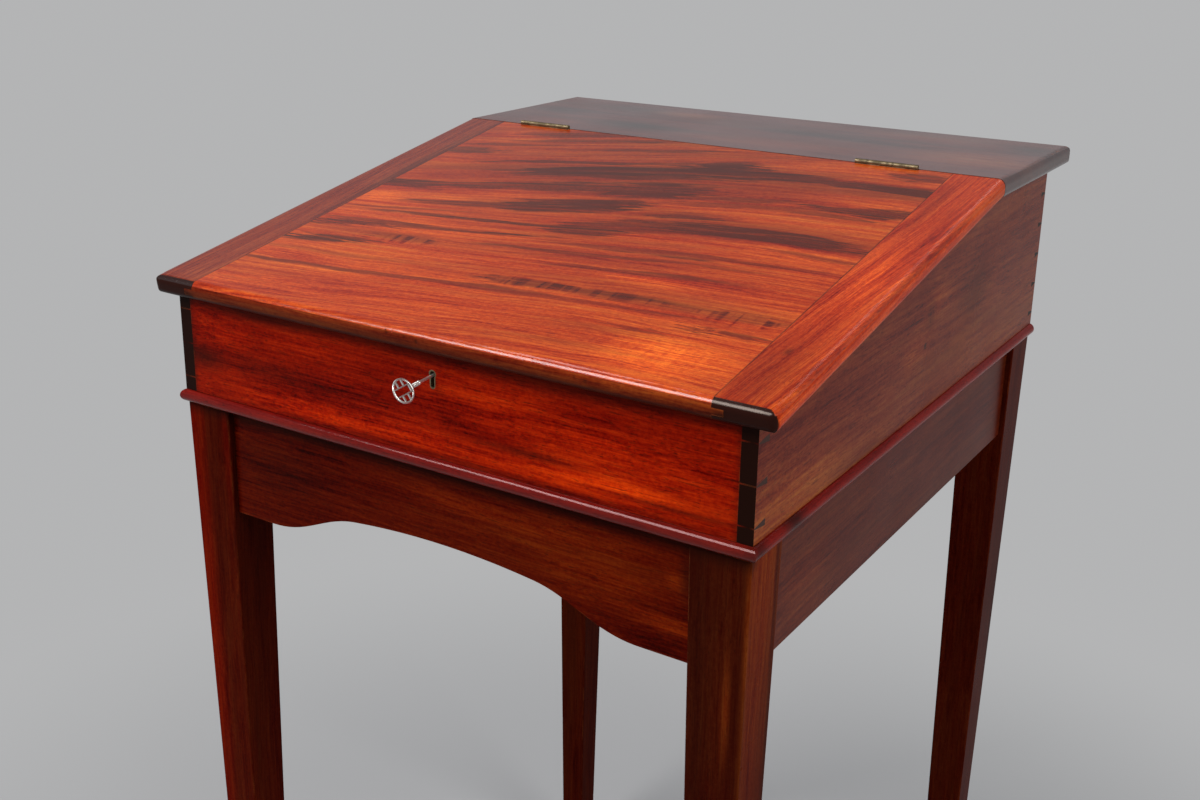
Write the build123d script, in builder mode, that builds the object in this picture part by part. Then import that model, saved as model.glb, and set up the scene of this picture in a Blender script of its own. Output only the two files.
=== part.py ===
"""Clerk's standing desk: a dovetailed slope-top box on a four-legged stand.

Millimetres. +X is to the sitter's right, +Y goes back, +Z is up, and the floor is Z = 0.
Two measures are used all through: "back" is the distance behind the box's front face, and "up" is
the height above the box's underside. back_y() and up_z() turn them into Y and Z.
"""

import os
from math import atan, cos, degrees, radians, sin, sqrt, tan

from build123d import *

# ---- Driving dimensions: box -------------------------------------------------------------------
box_width = 610.0
box_depth = 698.0
box_front_height = 97.0
box_back_height = 182.0
slope_run = 480.0  # from the front face back to the seam between lid and fixed top
front_thickness = 18.0
side_thickness = 14.0
back_thickness = 14.0
bottom_thickness = 10.0

# ---- Driving dimensions: dovetails -------------------------------------------------------------
pin_first_up = 14.0
pin_pitch = 34.0
pin_tip = 1.2
pin_root = 6.0

# ---- Driving dimensions: lid and fixed top -----------------------------------------------------
lid_thickness = 19.0
lid_front_overhang = 12.0
top_thickness = 20.0
top_side_overhang = 19.0
top_rear_overhang = 15.0
nose_upper_radius = 8.0
nose_lower_radius = 7.0
nose_corner_radius = 6.5  # outer corners of lid and fixed top, seen from above
cleat_width = 52.0
tongue_length = 10.0
tongue_thickness = 6.0
seam_gap = 0.8
seat_gap = 0.3  # lid to the rim it closes on

# ---- Driving dimensions: stand -----------------------------------------------------------------
stand_height = 935.0
leg_top_size = 54.0
leg_foot_size = 32.0
leg_inset = 0.5
leg_arris = 1.5
apron_setback = 7.0
apron_thickness = 20.0
apron_height = 120.0
arch_rise = 35.0
arch_pad_rise = 29.0
arch_half_span = 205.0
arch_shoulder = 100.0
arch_shoulder_slope = 0.12
tenon_length = 28.0
tenon_thickness = 8.0
tenon_haunch = 20.0
tenon_sill = 10.0
bead_height = 13.0
bead_projection = 5.0
block_width = 26.0
block_height = 30.0
block_length = 90.0
block_spacing = 162.0  # between the middles of the two blocks on one apron
top_block_width = 19.5
stand_screw_radius = 2.2
stand_screw_head_radius = 4.4
stand_screw_bite = 7.0

# ---- Driving dimensions: hinges ----------------------------------------------------------------
hinge_length = 66.0
hinge_inset_left = 58.5  # from the seam of panel and cleat to a hinge's middle
hinge_inset_right = 69.0
hinge_leaf_height = 14.0
hinge_leaf_thickness = 1.6
hinge_barrel_radius = 2.5
hinge_pin_radius = 1.2
hinge_axis_rise = 1.5  # barrel's axis above the fixed top
knuckles = 5
knuckle_gap = 0.3
hinge_screw_radius = 1.4
hinge_screw_head_radius = 2.8
hinge_screw_length = 15.0
hinge_screw_spread = 23.0
hinge_screw_rise = 5.6  # screws above the leaf's lower edge

# ---- Driving dimensions: lock and key ----------------------------------------------------------
lock_x = 2.0
keyhole_up = 75.5
escutcheon_radius = 3.75
escutcheon_drop = 13.2
escutcheon_leg_width = 6.0
escutcheon_wall = 1.1
escutcheon_depth = 4.0
lock_face_depth = 6.5  # wood left in front of the lock's case
lock_plate_thickness = 2.0
lock_plate_half_width = 36.0
lock_plate_drop = 17.0
lock_case_half_width = 30.0
lock_case_wall = 1.6
lock_case_drop = 12.5
lock_case_rise = 19.0
selvedge_width = 14.0
bolt_thickness = 2.6
bolt_throw = 6.0
bolt_bar_low = 7.0
bolt_bar_height = 6.5
bolt_prong_height = 3.0
bolt_notch_half_width = 6.6
bolt_notch_height = 2.6
bolt_stud_radius = 1.5
bolt_stud_shoulder = 2.5
bolt_stud_spread = 19.0
bolt_stem_width = 4.0
link_plate_half_width = 31.0
link_screw_inset = 4.0
staple_spread = 14.0
staple_thickness = 2.2
staple_half_width = 2.9
staple_wall = 1.0
staple_eye_drop = 3.6  # from the lid's underside to the top of the eye
staple_eye_height = 4.3
staple_sill = 1.7  # metal left below the eye
drill_pin_radius = 0.6
key_droop = 4.0  # degrees that the key and its pin hang out of level
key_barrel_radius = 1.25
key_bit_reach = 9.0
key_bit_length = 5.2
key_bit_thickness = 1.6
key_collar_out = 18.0
key_collar_radius = 2.1
key_neck_radius = 1.45
key_bow_out = 38.0
key_bow_radius = 11.2
key_bow_wire = 0.9
key_bar_width = 1.1
key_bar_thickness = 1.2
key_long_bar_offset = 3.45
key_short_bar_offset = 3.1
key_neck_bar_offset = 8.3  # from the bow's middle to the bar beside the neck
key_bow_turn = 33.0  # bow's plane, round from the bit's
lock_screw_radius = 1.3
lock_screw_head_radius = 2.5
lock_screw_length = 9.0
lock_screw_edge = 0.5  # plate left outside a screw's head

# ---- Clearances --------------------------------------------------------------------------------
fit = 0.2  # wood and lock pieces in their housings
inlay_fit = 0.05  # escutcheon in the front board
screw_fit = 0.05
running = 0.05  # turning pins in their holes
barrel_gap = 0.3
loose = 1.0  # bottoms of mortises and sliding play

# ---- Derived places ----------------------------------------------------------------------------
plate_face = front_thickness - lock_plate_thickness
ring_radius = key_bow_radius - key_bow_wire
hang = radians(key_droop)
bow_turn = radians(key_bow_turn)
ring_reach = ring_radius * sqrt(1 - (sin(bow_turn) * sin(hang)) ** 2) + key_bow_wire
key_reach = (key_bow_out + plate_face) * cos(hang) - plate_face + ring_reach
front_y = (key_reach - box_depth - top_rear_overhang) / 2
slope = atan((box_back_height - box_front_height) / slope_run)
half_width = box_width / 2
inner_half_width = half_width - side_thickness
top_half_width = half_width + top_side_overhang
lid_panel_half_width = top_half_width - cleat_width
top_surface_up = box_back_height + top_thickness
hinge_axis_up = top_surface_up + hinge_axis_rise
leg_taper = (leg_top_size - leg_foot_size) / 2
apron_face = leg_inset + apron_setback
apron_back = apron_face + apron_thickness
bead_radius = bead_height / 2
tongue_low = (lid_thickness - tongue_thickness) / 2


def back_y(back):
    """Y of a place this far behind the box's front face."""
    return front_y + back


def up_z(up):
    """Z of a place this far above the box's underside."""
    return stand_height + up


def rim_up(back):
    """Height of the box's sloped rim."""
    return box_front_height + back * tan(slope)


def leg_inner(up):
    """Distance from the box's outer face to a leg's inner face at this height."""
    return leg_inset + leg_top_size + leg_taper * up / stand_height


def section_plane(x):
    """Upright front-to-back plane at this X, drawn in (Y, Z)."""
    return Plane.YZ.offset(x)


def front_plane(back):
    """Plane parallel to the front face, drawn in (X, Z). Negative extrusions go backwards."""
    return Plane.XZ.offset(-back_y(back))


def level_plane(up):
    return Plane.XY.offset(up_z(up))


# The lid's own plane: its underside, starting over the front face, with local Y up the slope.
lid_origin = Vector(0, back_y(0), up_z(box_front_height + seat_gap / cos(slope)))
lid_plane = Plane(origin=lid_origin, x_dir=(1, 0, 0), z_dir=(0, -sin(slope), cos(slope)))


def lid_section(x):
    """Plane across the lid at this X, drawn in (distance up the slope, height off its underside)."""
    return Plane(
        origin=lid_origin + Vector(x, 0, 0), x_dir=(0, cos(slope), sin(slope)), z_dir=(1, 0, 0)
    )


os.makedirs("parts", exist_ok=True)


def write(piece, name, turn=None):
    part = turn * piece.part if turn else piece.part
    part.label = name
    export_step(part, f"parts/{name}.step")


def span_box(x, back, up, mode=Mode.ADD):
    """Block between two values of X, of distance back and of height up."""
    low = Vector(min(x), back_y(min(back)), up_z(min(up)))
    high = Vector(max(x), back_y(max(back)), up_z(max(up)))
    size = high - low
    with Locations((low + high) * 0.5):
        Box(size.X, size.Y, size.Z, mode=mode)


def rod_along_y(x, up, radius, back, mode=Mode.ADD):
    """Round rod from one distance back to another."""
    with BuildSketch(front_plane(back[0]), mode=Mode.PRIVATE) as end:
        with Locations((x, up_z(up))):
            Circle(radius)
    extrude(end.sketch, amount=-(back[1] - back[0]), mode=mode)


def screw_along_y(x, up, radius, head_radius, back, mode=Mode.ADD, gap=0.0):
    """Countersunk screw with its head's face at back[0] and its tip at back[1]."""
    head = head_radius - radius
    way = 1 if back[1] > back[0] else -1
    rod_along_y(x, up, radius + gap, back, mode)
    plane = Plane(origin=(x, back_y(back[0]), up_z(up)), z_dir=(0, way, 0))
    with Locations(plane.offset((head + gap) / 2)):
        Cone(head_radius + gap, radius + gap, head + gap, mode=mode)


# ---- Legs: square, tapered on all four faces ----------------------------------------------------
leg_centre = leg_inset + leg_top_size / 2
leg_taper_angle = degrees(atan(leg_taper / stand_height))
corners = {
    "leg_front_left": (-1, 1),
    "leg_front_right": (1, 1),
    "leg_rear_left": (-1, -1),
    "leg_rear_right": (1, -1),
}


def across(side, inset):
    """X of a place this far inside the box's left (-1) or right (1) face."""
    return side * (half_width - inset)


def along(end, inset):
    """Distance back of a place this far inside the front (1) or rear (-1) face."""
    return inset if end > 0 else box_depth - inset


tenon_near = apron_face + (apron_thickness - tenon_thickness) / 2
tenon_far = tenon_near + tenon_thickness
tenon_up = (-apron_height + tenon_sill, -tenon_haunch)
mortise_up = (tenon_up[0] - fit, tenon_up[1] + fit)
mortise_width = (tenon_near - fit, tenon_far + fit)


def tenon_reach(up):
    return leg_inner(up) - tenon_length


for name, (side, end) in corners.items():
    foot_centre = (across(side, leg_centre), back_y(along(end, leg_centre)))
    with BuildPart() as leg:
        with BuildSketch(Plane.XY):
            with Locations(foot_centre):
                Rectangle(leg_foot_size, leg_foot_size)
        extrude(amount=stand_height, taper=-leg_taper_angle)
        fillet(leg.edges().group_by(SortBy.LENGTH)[-1], leg_arris)
        # rebate round the head for the bead strips
        outside = -bead_projection
        rebate_up = (-bead_height, loose)
        whole_head = leg_inset + leg_top_size + loose
        span_box(
            (across(side, outside), across(side, apron_face)),
            (along(end, outside), along(end, whole_head)),
            rebate_up,
            mode=Mode.SUBTRACT,
        )
        if end > 0:
            span_box(
                (across(side, outside), across(side, whole_head)),
                (along(end, outside), along(end, apron_face)),
                rebate_up,
                mode=Mode.SUBTRACT,
            )
        # mortise for the front or rear apron, then for the side apron
        mortise_end = tenon_reach(tenon_up[0]) - loose
        span_box(
            (across(side, mortise_end), across(side, whole_head)),
            [along(end, inset) for inset in mortise_width],
            mortise_up,
            mode=Mode.SUBTRACT,
        )
        span_box(
            [across(side, inset) for inset in mortise_width],
            (along(end, mortise_end), along(end, whole_head)),
            mortise_up,
            mode=Mode.SUBTRACT,
        )
    write(leg, name)

# ---- Aprons: shouldered between the legs, tenoned into them -------------------------------------
shoulder_top = half_width - leg_inner(0)
shoulder_low = half_width - leg_inner(-apron_height)
tenon_tip = half_width - tenon_reach(tenon_up[0])

with BuildPart() as apron_front:
    with BuildSketch(front_plane(apron_face)):
        with BuildLine():
            top_left = (-shoulder_top, up_z(0))
            top_right = (shoulder_top, up_z(0))
            low_up = up_z(-apron_height)
            pad_left = (-arch_half_span, low_up)
            pad_right = (arch_half_span, low_up)
            rise_left = (-arch_shoulder, low_up + arch_pad_rise)
            rise_right = (arch_shoulder, low_up + arch_pad_rise)
            Polyline(pad_left, (-shoulder_low, low_up), top_left, top_right)
            Polyline(top_right, (shoulder_low, low_up), pad_right)
            Spline(pad_left, rise_left, tangents=((1, 0), (1, arch_shoulder_slope)))
            ThreePointArc(rise_left, (0, low_up + arch_rise), rise_right)
            Spline(rise_right, pad_right, tangents=((1, -arch_shoulder_slope), (1, 0)))
        make_face()
    extrude(amount=-apron_thickness)
    for side in (-1, 1):
        span_box((side * shoulder_top, side * tenon_tip), (tenon_near, tenon_far), tenon_up)
write(apron_front, "apron_front")

with BuildPart() as apron_rear:
    with BuildSketch(front_plane(along(-1, apron_back))):
        Polygon(
            (-shoulder_top, up_z(0)),
            (shoulder_top, up_z(0)),
            (shoulder_low, up_z(-apron_height)),
            (-shoulder_low, up_z(-apron_height)),
        )
    extrude(amount=-apron_thickness)
    span_box((-tenon_tip, tenon_tip), (along(-1, tenon_near), along(-1, tenon_far)), tenon_up)
write(apron_rear, "apron_rear")

for name, side in (("apron_left", -1), ("apron_right", 1)):
    with BuildPart() as apron_side:
        with BuildSketch(section_plane(across(side, apron_face))):
            Polygon(
                (back_y(leg_inner(0)), up_z(0)),
                (back_y(box_depth - leg_inner(0)), up_z(0)),
                (back_y(box_depth - leg_inner(-apron_height)), up_z(-apron_height)),
                (back_y(leg_inner(-apron_height)), up_z(-apron_height)),
            )
        extrude(amount=-side * apron_thickness)
        reach = tenon_reach(tenon_up[0])
        span_box(
            (across(side, tenon_near), across(side, tenon_far)),
            (reach, box_depth - reach),
            tenon_up,
        )
    write(apron_side, name)

# ---- Bead: bull-nosed strips let into the leg heads, mitred at the front corners ----------------
bead_corner = half_width + bead_projection


def bead_profile(turn):
    """Nose in the plane of the current sketch; turn says which way along local X it points."""
    centre = turn * (bead_projection - bead_radius)
    root = -turn * apron_face
    middle = up_z(-bead_radius)
    with Locations(((centre + root) / 2, middle)):
        Rectangle(abs(centre - root), bead_height)
    with Locations((centre, middle)):
        Circle(bead_radius)
    tip = turn * bead_projection
    with Locations(((tip + root) / 2, middle)):
        Rectangle(abs(tip - root), bead_height, mode=Mode.INTERSECT)


with BuildPart() as bead_front:
    with BuildSketch(Plane.YZ.offset(-bead_corner)):
        with Locations((back_y(0), 0)):
            bead_profile(-1)
    extrude(amount=2 * bead_corner)
    for side in (-1, 1):
        mitre = Plane(
            origin=(side * bead_corner, back_y(-bead_projection), 0), z_dir=(side, 1, 0)
        )
        split(bisect_by=mitre, keep=Keep.BOTTOM)
write(bead_front, "bead_front")

for name, side in (("bead_left", -1), ("bead_right", 1)):
    with BuildPart() as bead_side:
        with BuildSketch(front_plane(-bead_projection)):
            with Locations((side * half_width, 0)):
                bead_profile(side)
        extrude(amount=-(bead_projection + box_depth - leg_inset))
        mitre = Plane(
            origin=(side * bead_corner, back_y(-bead_projection), 0), z_dir=(side, 1, 0)
        )
        split(bisect_by=mitre, keep=Keep.TOP)
    write(bead_side, name)

# ---- Box: front, sides, back and bottom ---------------------------------------------------------
def pin_heights(board_height):
    count = int((board_height - pin_first_up) // pin_pitch) + 1
    return [pin_first_up + i * pin_pitch for i in range(count)]


def pin_outline(up, end, board_thickness):
    """One dovetail pin in section: narrow at the outer face, wide at the inner one."""
    Polygon(
        (back_y(along(end, 0)), up_z(up - pin_tip / 2)),
        (back_y(along(end, board_thickness)), up_z(up - pin_root / 2)),
        (back_y(along(end, board_thickness)), up_z(up + pin_root / 2)),
        (back_y(along(end, 0)), up_z(up + pin_tip / 2)),
    )


front_pins = pin_heights(box_front_height)
back_pins = pin_heights(box_back_height)
side_outline = [(0, 0), (box_depth, 0), (box_depth, box_back_height), (slope_run, box_back_height)]
side_outline.append((0, box_front_height))


def keyhole_outline(shrink):
    """Round head over a narrower leg with a round foot, smaller by this much all round."""
    leg_half = escutcheon_leg_width / 2 - shrink
    foot = up_z(keyhole_up - escutcheon_drop) + shrink + leg_half
    head = up_z(keyhole_up)
    with Locations((lock_x, head)):
        Circle(escutcheon_radius - shrink)
    with Locations((lock_x, (head + foot) / 2)):
        Rectangle(2 * leg_half, head - foot)
    with Locations((lock_x, foot)):
        Circle(leg_half)


selvedge_front = front_thickness - selvedge_width
plate_low = keyhole_up - lock_plate_drop
case_low = keyhole_up - lock_case_drop
case_top = keyhole_up + lock_case_rise
selvedge_drop = lock_plate_thickness / cos(slope)
lock_screw_margin = lock_screw_head_radius + lock_screw_edge
lock_screw_places = [
    (lock_x + side * (lock_plate_half_width - lock_screw_margin), up)
    for side in (-1, 1)
    for up in (plate_low + lock_screw_margin, case_top - lock_screw_head_radius)
]

with BuildPart() as box_front:
    with BuildSketch(section_plane(-inner_half_width)):
        Polygon(
            (back_y(0), up_z(0)),
            (back_y(front_thickness), up_z(0)),
            (back_y(front_thickness), up_z(rim_up(front_thickness))),
            (back_y(0), up_z(box_front_height)),
        )
    extrude(amount=2 * inner_half_width)
    with BuildSketch(section_plane(-half_width)):
        for up in front_pins:
            pin_outline(up, 1, front_thickness)
    extrude(amount=box_width)
    # keyhole, then the housings for the lock's case, plate and selvedge
    with BuildSketch(front_plane(0)):
        keyhole_outline(-inlay_fit)
    extrude(amount=-lock_face_depth - loose, mode=Mode.SUBTRACT)
    above = rim_up(front_thickness) + loose
    span_box(
        (lock_x - lock_case_half_width - fit, lock_x + lock_case_half_width + fit),
        (lock_face_depth - fit, front_thickness + loose),
        (case_low - fit, above),
        mode=Mode.SUBTRACT,
    )
    span_box(
        (lock_x - lock_plate_half_width - fit, lock_x + lock_plate_half_width + fit),
        (plate_face - fit, front_thickness + loose),
        (plate_low - fit, above),
        mode=Mode.SUBTRACT,
    )
    with BuildSketch(section_plane(lock_x - lock_plate_half_width - fit)):
        near = selvedge_front - fit
        far = front_thickness + loose
        Polygon(
            (back_y(near), up_z(rim_up(near) - selvedge_drop - fit)),
            (back_y(far), up_z(rim_up(far) - selvedge_drop - fit)),
            (back_y(far), up_z(above + loose)),
            (back_y(near), up_z(above + loose)),
        )
    extrude(amount=2 * (lock_plate_half_width + fit), mode=Mode.SUBTRACT)
    for x, up in lock_screw_places:
        rod_along_y(
            x,
            up,
            lock_screw_radius + screw_fit,
            (front_thickness - lock_screw_length - screw_fit, front_thickness),
            mode=Mode.SUBTRACT,
        )
write(box_front, "box_front")

for name, side in (("box_left", -1), ("box_right", 1)):
    with BuildPart() as box_side:
        with BuildSketch(section_plane(across(side, 0))):
            Polygon(*[(back_y(back), up_z(up)) for back, up in side_outline])
        extrude(amount=-side * side_thickness)
        with BuildSketch(section_plane(across(side, 0))):
            for up in front_pins:
                pin_outline(up, 1, front_thickness)
            for up in back_pins:
                pin_outline(up, -1, back_thickness)
        extrude(amount=-side * side_thickness, mode=Mode.SUBTRACT)
    write(box_side, name)

with BuildPart() as box_back:
    span_box(
        (-inner_half_width, inner_half_width),
        (box_depth - back_thickness, box_depth),
        (0, box_back_height),
    )
    with BuildSketch(section_plane(-half_width)):
        for up in back_pins:
            pin_outline(up, -1, back_thickness)
    extrude(amount=box_width)
write(box_back, "box_back")

# Glue blocks in the angle between aprons and bottom board, two on each apron.
block_offset = block_spacing / 2
screw_inset = apron_back + block_width / 2
block_places = []
for shift in (-1, 1):
    for end in (1, -1):
        inset = along(end, screw_inset)
        block_places.append((shift * block_offset, inset, block_length, block_width))
    for side in (-1, 1):
        middle = box_depth / 2 + shift * block_offset
        block_places.append((across(side, screw_inset), middle, block_width, block_length))
screw_low = -block_height
screw_head = stand_screw_head_radius - stand_screw_radius


def stand_screw(x, back, gap, mode=Mode.ADD):
    """Upright countersunk screw through a glue block into the bottom board."""
    with BuildSketch(level_plane(screw_low), mode=Mode.PRIVATE) as shank:
        with Locations((x, back_y(back))):
            Circle(stand_screw_radius + gap)
    extrude(shank.sketch, amount=block_height + stand_screw_bite + gap, mode=mode)
    with Locations((x, back_y(back), up_z(screw_low) + screw_head / 2)):
        Cone(stand_screw_head_radius + gap, stand_screw_radius + gap, screw_head, mode=mode)


with BuildPart() as box_bottom:
    span_box(
        (-inner_half_width, inner_half_width),
        (front_thickness, box_depth - back_thickness),
        (0, bottom_thickness),
    )
    for x, back, _, _ in block_places:
        stand_screw(x, back, screw_fit, mode=Mode.SUBTRACT)
write(box_bottom, "box_bottom")

with BuildPart() as stand_blocks:
    for x, back, width, depth in block_places:
        span_box(
            (x - width / 2, x + width / 2), (back - depth / 2, back + depth / 2), (-block_height, 0)
        )
        stand_screw(x, back, screw_fit, mode=Mode.SUBTRACT)
write(stand_blocks, "stand_glue_blocks")

with BuildPart() as stand_screws:
    for x, back, _, _ in block_places:
        stand_screw(x, back, 0)
write(stand_screws, "stand_screws")

# ---- Hinge places ------------------------------------------------------------------------------
hinge_sides = {"left": -1, "right": 1}
knuckle_length = (hinge_length - (knuckles - 1) * knuckle_gap) / knuckles
hinge_low_up = top_surface_up - hinge_leaf_height


def hinge_middle(side):
    inset = hinge_inset_left if side < 0 else hinge_inset_right
    return side * (lid_panel_half_width - inset)


def hinge_barrel(x_from, x_to, radius, mode=Mode.ADD):
    """Cylinder on the hinge axis between two values of X."""
    with BuildSketch(section_plane(x_from), mode=Mode.PRIVATE) as ring:
        with Locations((back_y(slope_run), up_z(hinge_axis_up))):
            Circle(radius)
    extrude(ring.sketch, amount=x_to - x_from, mode=mode)


def hinge_housing(face):
    """Cuts a leaf's recess into the edge that faces the seam; face is -1 for lid, 1 for top."""
    for side in hinge_sides.values():
        middle = hinge_middle(side)
        ends = (middle - hinge_length / 2 - fit, middle + hinge_length / 2 + fit)
        depth = seam_gap / 2 + hinge_leaf_thickness + fit
        span_box(
            ends,
            (slope_run, slope_run + face * depth),
            (hinge_low_up - fit, hinge_axis_up + loose),
            mode=Mode.SUBTRACT,
        )
        hinge_barrel(ends[0], ends[1], hinge_barrel_radius + barrel_gap, mode=Mode.SUBTRACT)
        for x in hinge_screw_places(middle):
            start = slope_run + face * seam_gap / 2
            rod_along_y(
                x,
                hinge_screw_up,
                hinge_screw_radius + screw_fit,
                sorted((start, start + face * (hinge_screw_length + screw_fit))),
                mode=Mode.SUBTRACT,
            )


hinge_screw_up = hinge_low_up + hinge_screw_rise


def hinge_screw_places(middle):
    return [middle + step * hinge_screw_spread for step in (-1, 0, 1)]


# ---- Fixed top: nosed at the rear and both ends -------------------------------------------------
top_front_back = slope_run + seam_gap / 2
top_rear_back = box_depth + top_rear_overhang

with BuildPart() as fixed_top:
    with BuildSketch(section_plane(-top_half_width)) as rear_nose:
        depth = top_rear_back - top_front_back
        middle = (back_y(top_front_back + depth / 2), up_z(box_back_height + top_thickness / 2))
        with Locations(middle):
            Rectangle(depth, top_thickness)
        fillet(rear_nose.vertices().group_by(Axis.X)[-1].sort_by(Axis.Y)[-1], nose_upper_radius)
        fillet(rear_nose.vertices().group_by(Axis.X)[-1].sort_by(Axis.Y)[0], nose_lower_radius)
    extrude(amount=2 * top_half_width)
    with BuildSketch(front_plane(top_front_back)) as end_nose:
        with Locations((0, up_z(box_back_height + top_thickness / 2))):
            Rectangle(2 * top_half_width, top_thickness)
        fillet(end_nose.vertices().group_by(Axis.Y)[-1], nose_upper_radius)
        fillet(end_nose.vertices().group_by(Axis.Y)[0], nose_lower_radius)
    extrude(amount=-(top_rear_back - top_front_back), mode=Mode.INTERSECT)
    with BuildSketch(level_plane(box_back_height)) as top_plan:
        with Locations((0, back_y(top_front_back + depth / 2))):
            Rectangle(2 * top_half_width, depth)
        fillet(top_plan.vertices().group_by(Axis.Y)[-1], nose_corner_radius)
    extrude(amount=top_thickness, mode=Mode.INTERSECT)
    hinge_housing(1)
write(fixed_top, "fixed_top")

# Glue blocks under the fixed top, against the back board and both sides.
with BuildPart() as top_blocks:
    under_up = (box_back_height - top_block_width, box_back_height)
    for shift in (-1, 1):
        middle = shift * inner_half_width / 2
        span_box(
            (middle - block_length / 2, middle + block_length / 2),
            (box_depth - back_thickness - top_block_width, box_depth - back_thickness),
            under_up,
        )
    side_middle = (slope_run + box_depth - back_thickness) / 2
    for side in (-1, 1):
        span_box(
            (across(side, side_thickness), across(side, side_thickness + top_block_width)),
            (side_middle - block_length / 2, side_middle + block_length / 2),
            under_up,
        )
write(top_blocks, "top_glue_blocks")

# ---- Lid: centre panel with a tongue along each end, and two grooved cleats ---------------------
lid_front = -lid_front_overhang
lid_rear_back = slope_run - seam_gap / 2
lid_long = slope_run / cos(slope) + lid_thickness


def lid_outline():
    """The lid in section: nosed front edge, and a rear end run past its plumb cut."""
    with Locations(((lid_front + lid_long) / 2, lid_thickness / 2)):
        Rectangle(lid_long - lid_front, lid_thickness)


def nose_front(sketch):
    fillet(sketch.vertices().group_by(Axis.X)[0].sort_by(Axis.Y)[-1], nose_upper_radius)
    fillet(sketch.vertices().group_by(Axis.X)[0].sort_by(Axis.Y)[0], nose_lower_radius)


def plumb_cut():
    """Trims the lid's rear end upright, just in front of the seam."""
    split(bisect_by=Plane(origin=(0, back_y(lid_rear_back), 0), z_dir=(0, 1, 0)), keep=Keep.BOTTOM)


staple_length = staple_eye_drop + staple_eye_height + staple_sill
staple_eye_w = -(staple_eye_drop + staple_eye_height / 2)
bolt_middle_back = (lock_face_depth + lock_case_wall + plate_face) / 2
staple_v = (bolt_middle_back + staple_eye_w * sin(slope)) / cos(slope)
link_plate_v = (staple_v - selvedge_width / 2, staple_v + selvedge_width / 2)
link_screw_x = link_plate_half_width - link_screw_inset


def lid_slab(x, v, w, mode=Mode.ADD):
    """Block in the lid's own plane: X, distance up the slope and height off its underside."""
    place = lid_plane * Location(((x[0] + x[1]) / 2, (v[0] + v[1]) / 2, (w[0] + w[1]) / 2))
    with Locations(place):
        Box(x[1] - x[0], v[1] - v[0], w[1] - w[0], mode=mode)


def link_screw(side, gap, mode=Mode.ADD):
    """Countersunk screw through the link plate, up into the lid."""
    head = lock_screw_head_radius - lock_screw_radius
    x = lock_x + side * link_screw_x
    shank_at = lid_plane * Location((x, staple_v, (lock_screw_length + gap) / 2))
    head_at = lid_plane * Location((x, staple_v, head / 2))
    with Locations(shank_at):
        Cylinder(lock_screw_radius + gap, lock_screw_length + gap, mode=mode)
    with Locations(head_at):
        Cone(lock_screw_head_radius + gap, lock_screw_radius + gap, head, mode=mode)


with BuildPart() as lid_panel:
    with BuildSketch(lid_section(-lid_panel_half_width)) as body:
        lid_outline()
        nose_front(body)
    extrude(amount=2 * lid_panel_half_width)
    with BuildSketch(lid_section(-lid_panel_half_width - tongue_length)) as tongue:
        lid_outline()
        nose_front(tongue)
        with Locations(((lid_front + lid_long) / 2, tongue_low + tongue_thickness / 2)):
            Rectangle(lid_long - lid_front, tongue_thickness, mode=Mode.INTERSECT)
    extrude(amount=2 * (lid_panel_half_width + tongue_length))
    plumb_cut()
    hinge_housing(-1)
    lid_slab(
        (lock_x - link_plate_half_width - fit, lock_x + link_plate_half_width + fit),
        (link_plate_v[0] - fit, link_plate_v[1] + fit),
        (-loose, lock_plate_thickness + fit),
        mode=Mode.SUBTRACT,
    )
    for side in (-1, 1):
        link_screw(side, screw_fit, mode=Mode.SUBTRACT)
write(lid_panel, "lid_panel")

for name, side in (("lid_cleat_left", -1), ("lid_cleat_right", 1)):
    with BuildPart() as cleat:
        with BuildSketch(lid_section(side * lid_panel_half_width)) as body:
            lid_outline()
            nose_front(body)
        extrude(amount=side * cleat_width)
        end_plane = Plane(
            origin=lid_plane.from_local_coords(Vector(0, lid_front, 0)),
            x_dir=(1, 0, 0),
            z_dir=(0, -cos(slope), -sin(slope)),
        )
        with BuildSketch(end_plane) as end_nose:
            with Locations((0, lid_thickness / 2)):
                Rectangle(2 * top_half_width, lid_thickness)
            fillet(end_nose.vertices().group_by(Axis.Y)[-1], nose_upper_radius)
            fillet(end_nose.vertices().group_by(Axis.Y)[0], nose_lower_radius)
        extrude(amount=-(lid_long - lid_front), mode=Mode.INTERSECT)
        with BuildSketch(lid_plane) as lid_plan:
            with Locations((0, (lid_front + lid_long) / 2)):
                Rectangle(2 * top_half_width, lid_long - lid_front)
            fillet(lid_plan.vertices().group_by(Axis.Y)[0], nose_corner_radius)
        extrude(amount=lid_thickness, mode=Mode.INTERSECT)
        groove = (side * lid_panel_half_width, side * (lid_panel_half_width + tongue_length + fit))
        lid_slab(
            (min(groove), max(groove)),
            (lid_front - loose, lid_long + loose),
            (tongue_low, tongue_low + tongue_thickness),
            mode=Mode.SUBTRACT,
        )
        plumb_cut()
    write(cleat, name)

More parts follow.
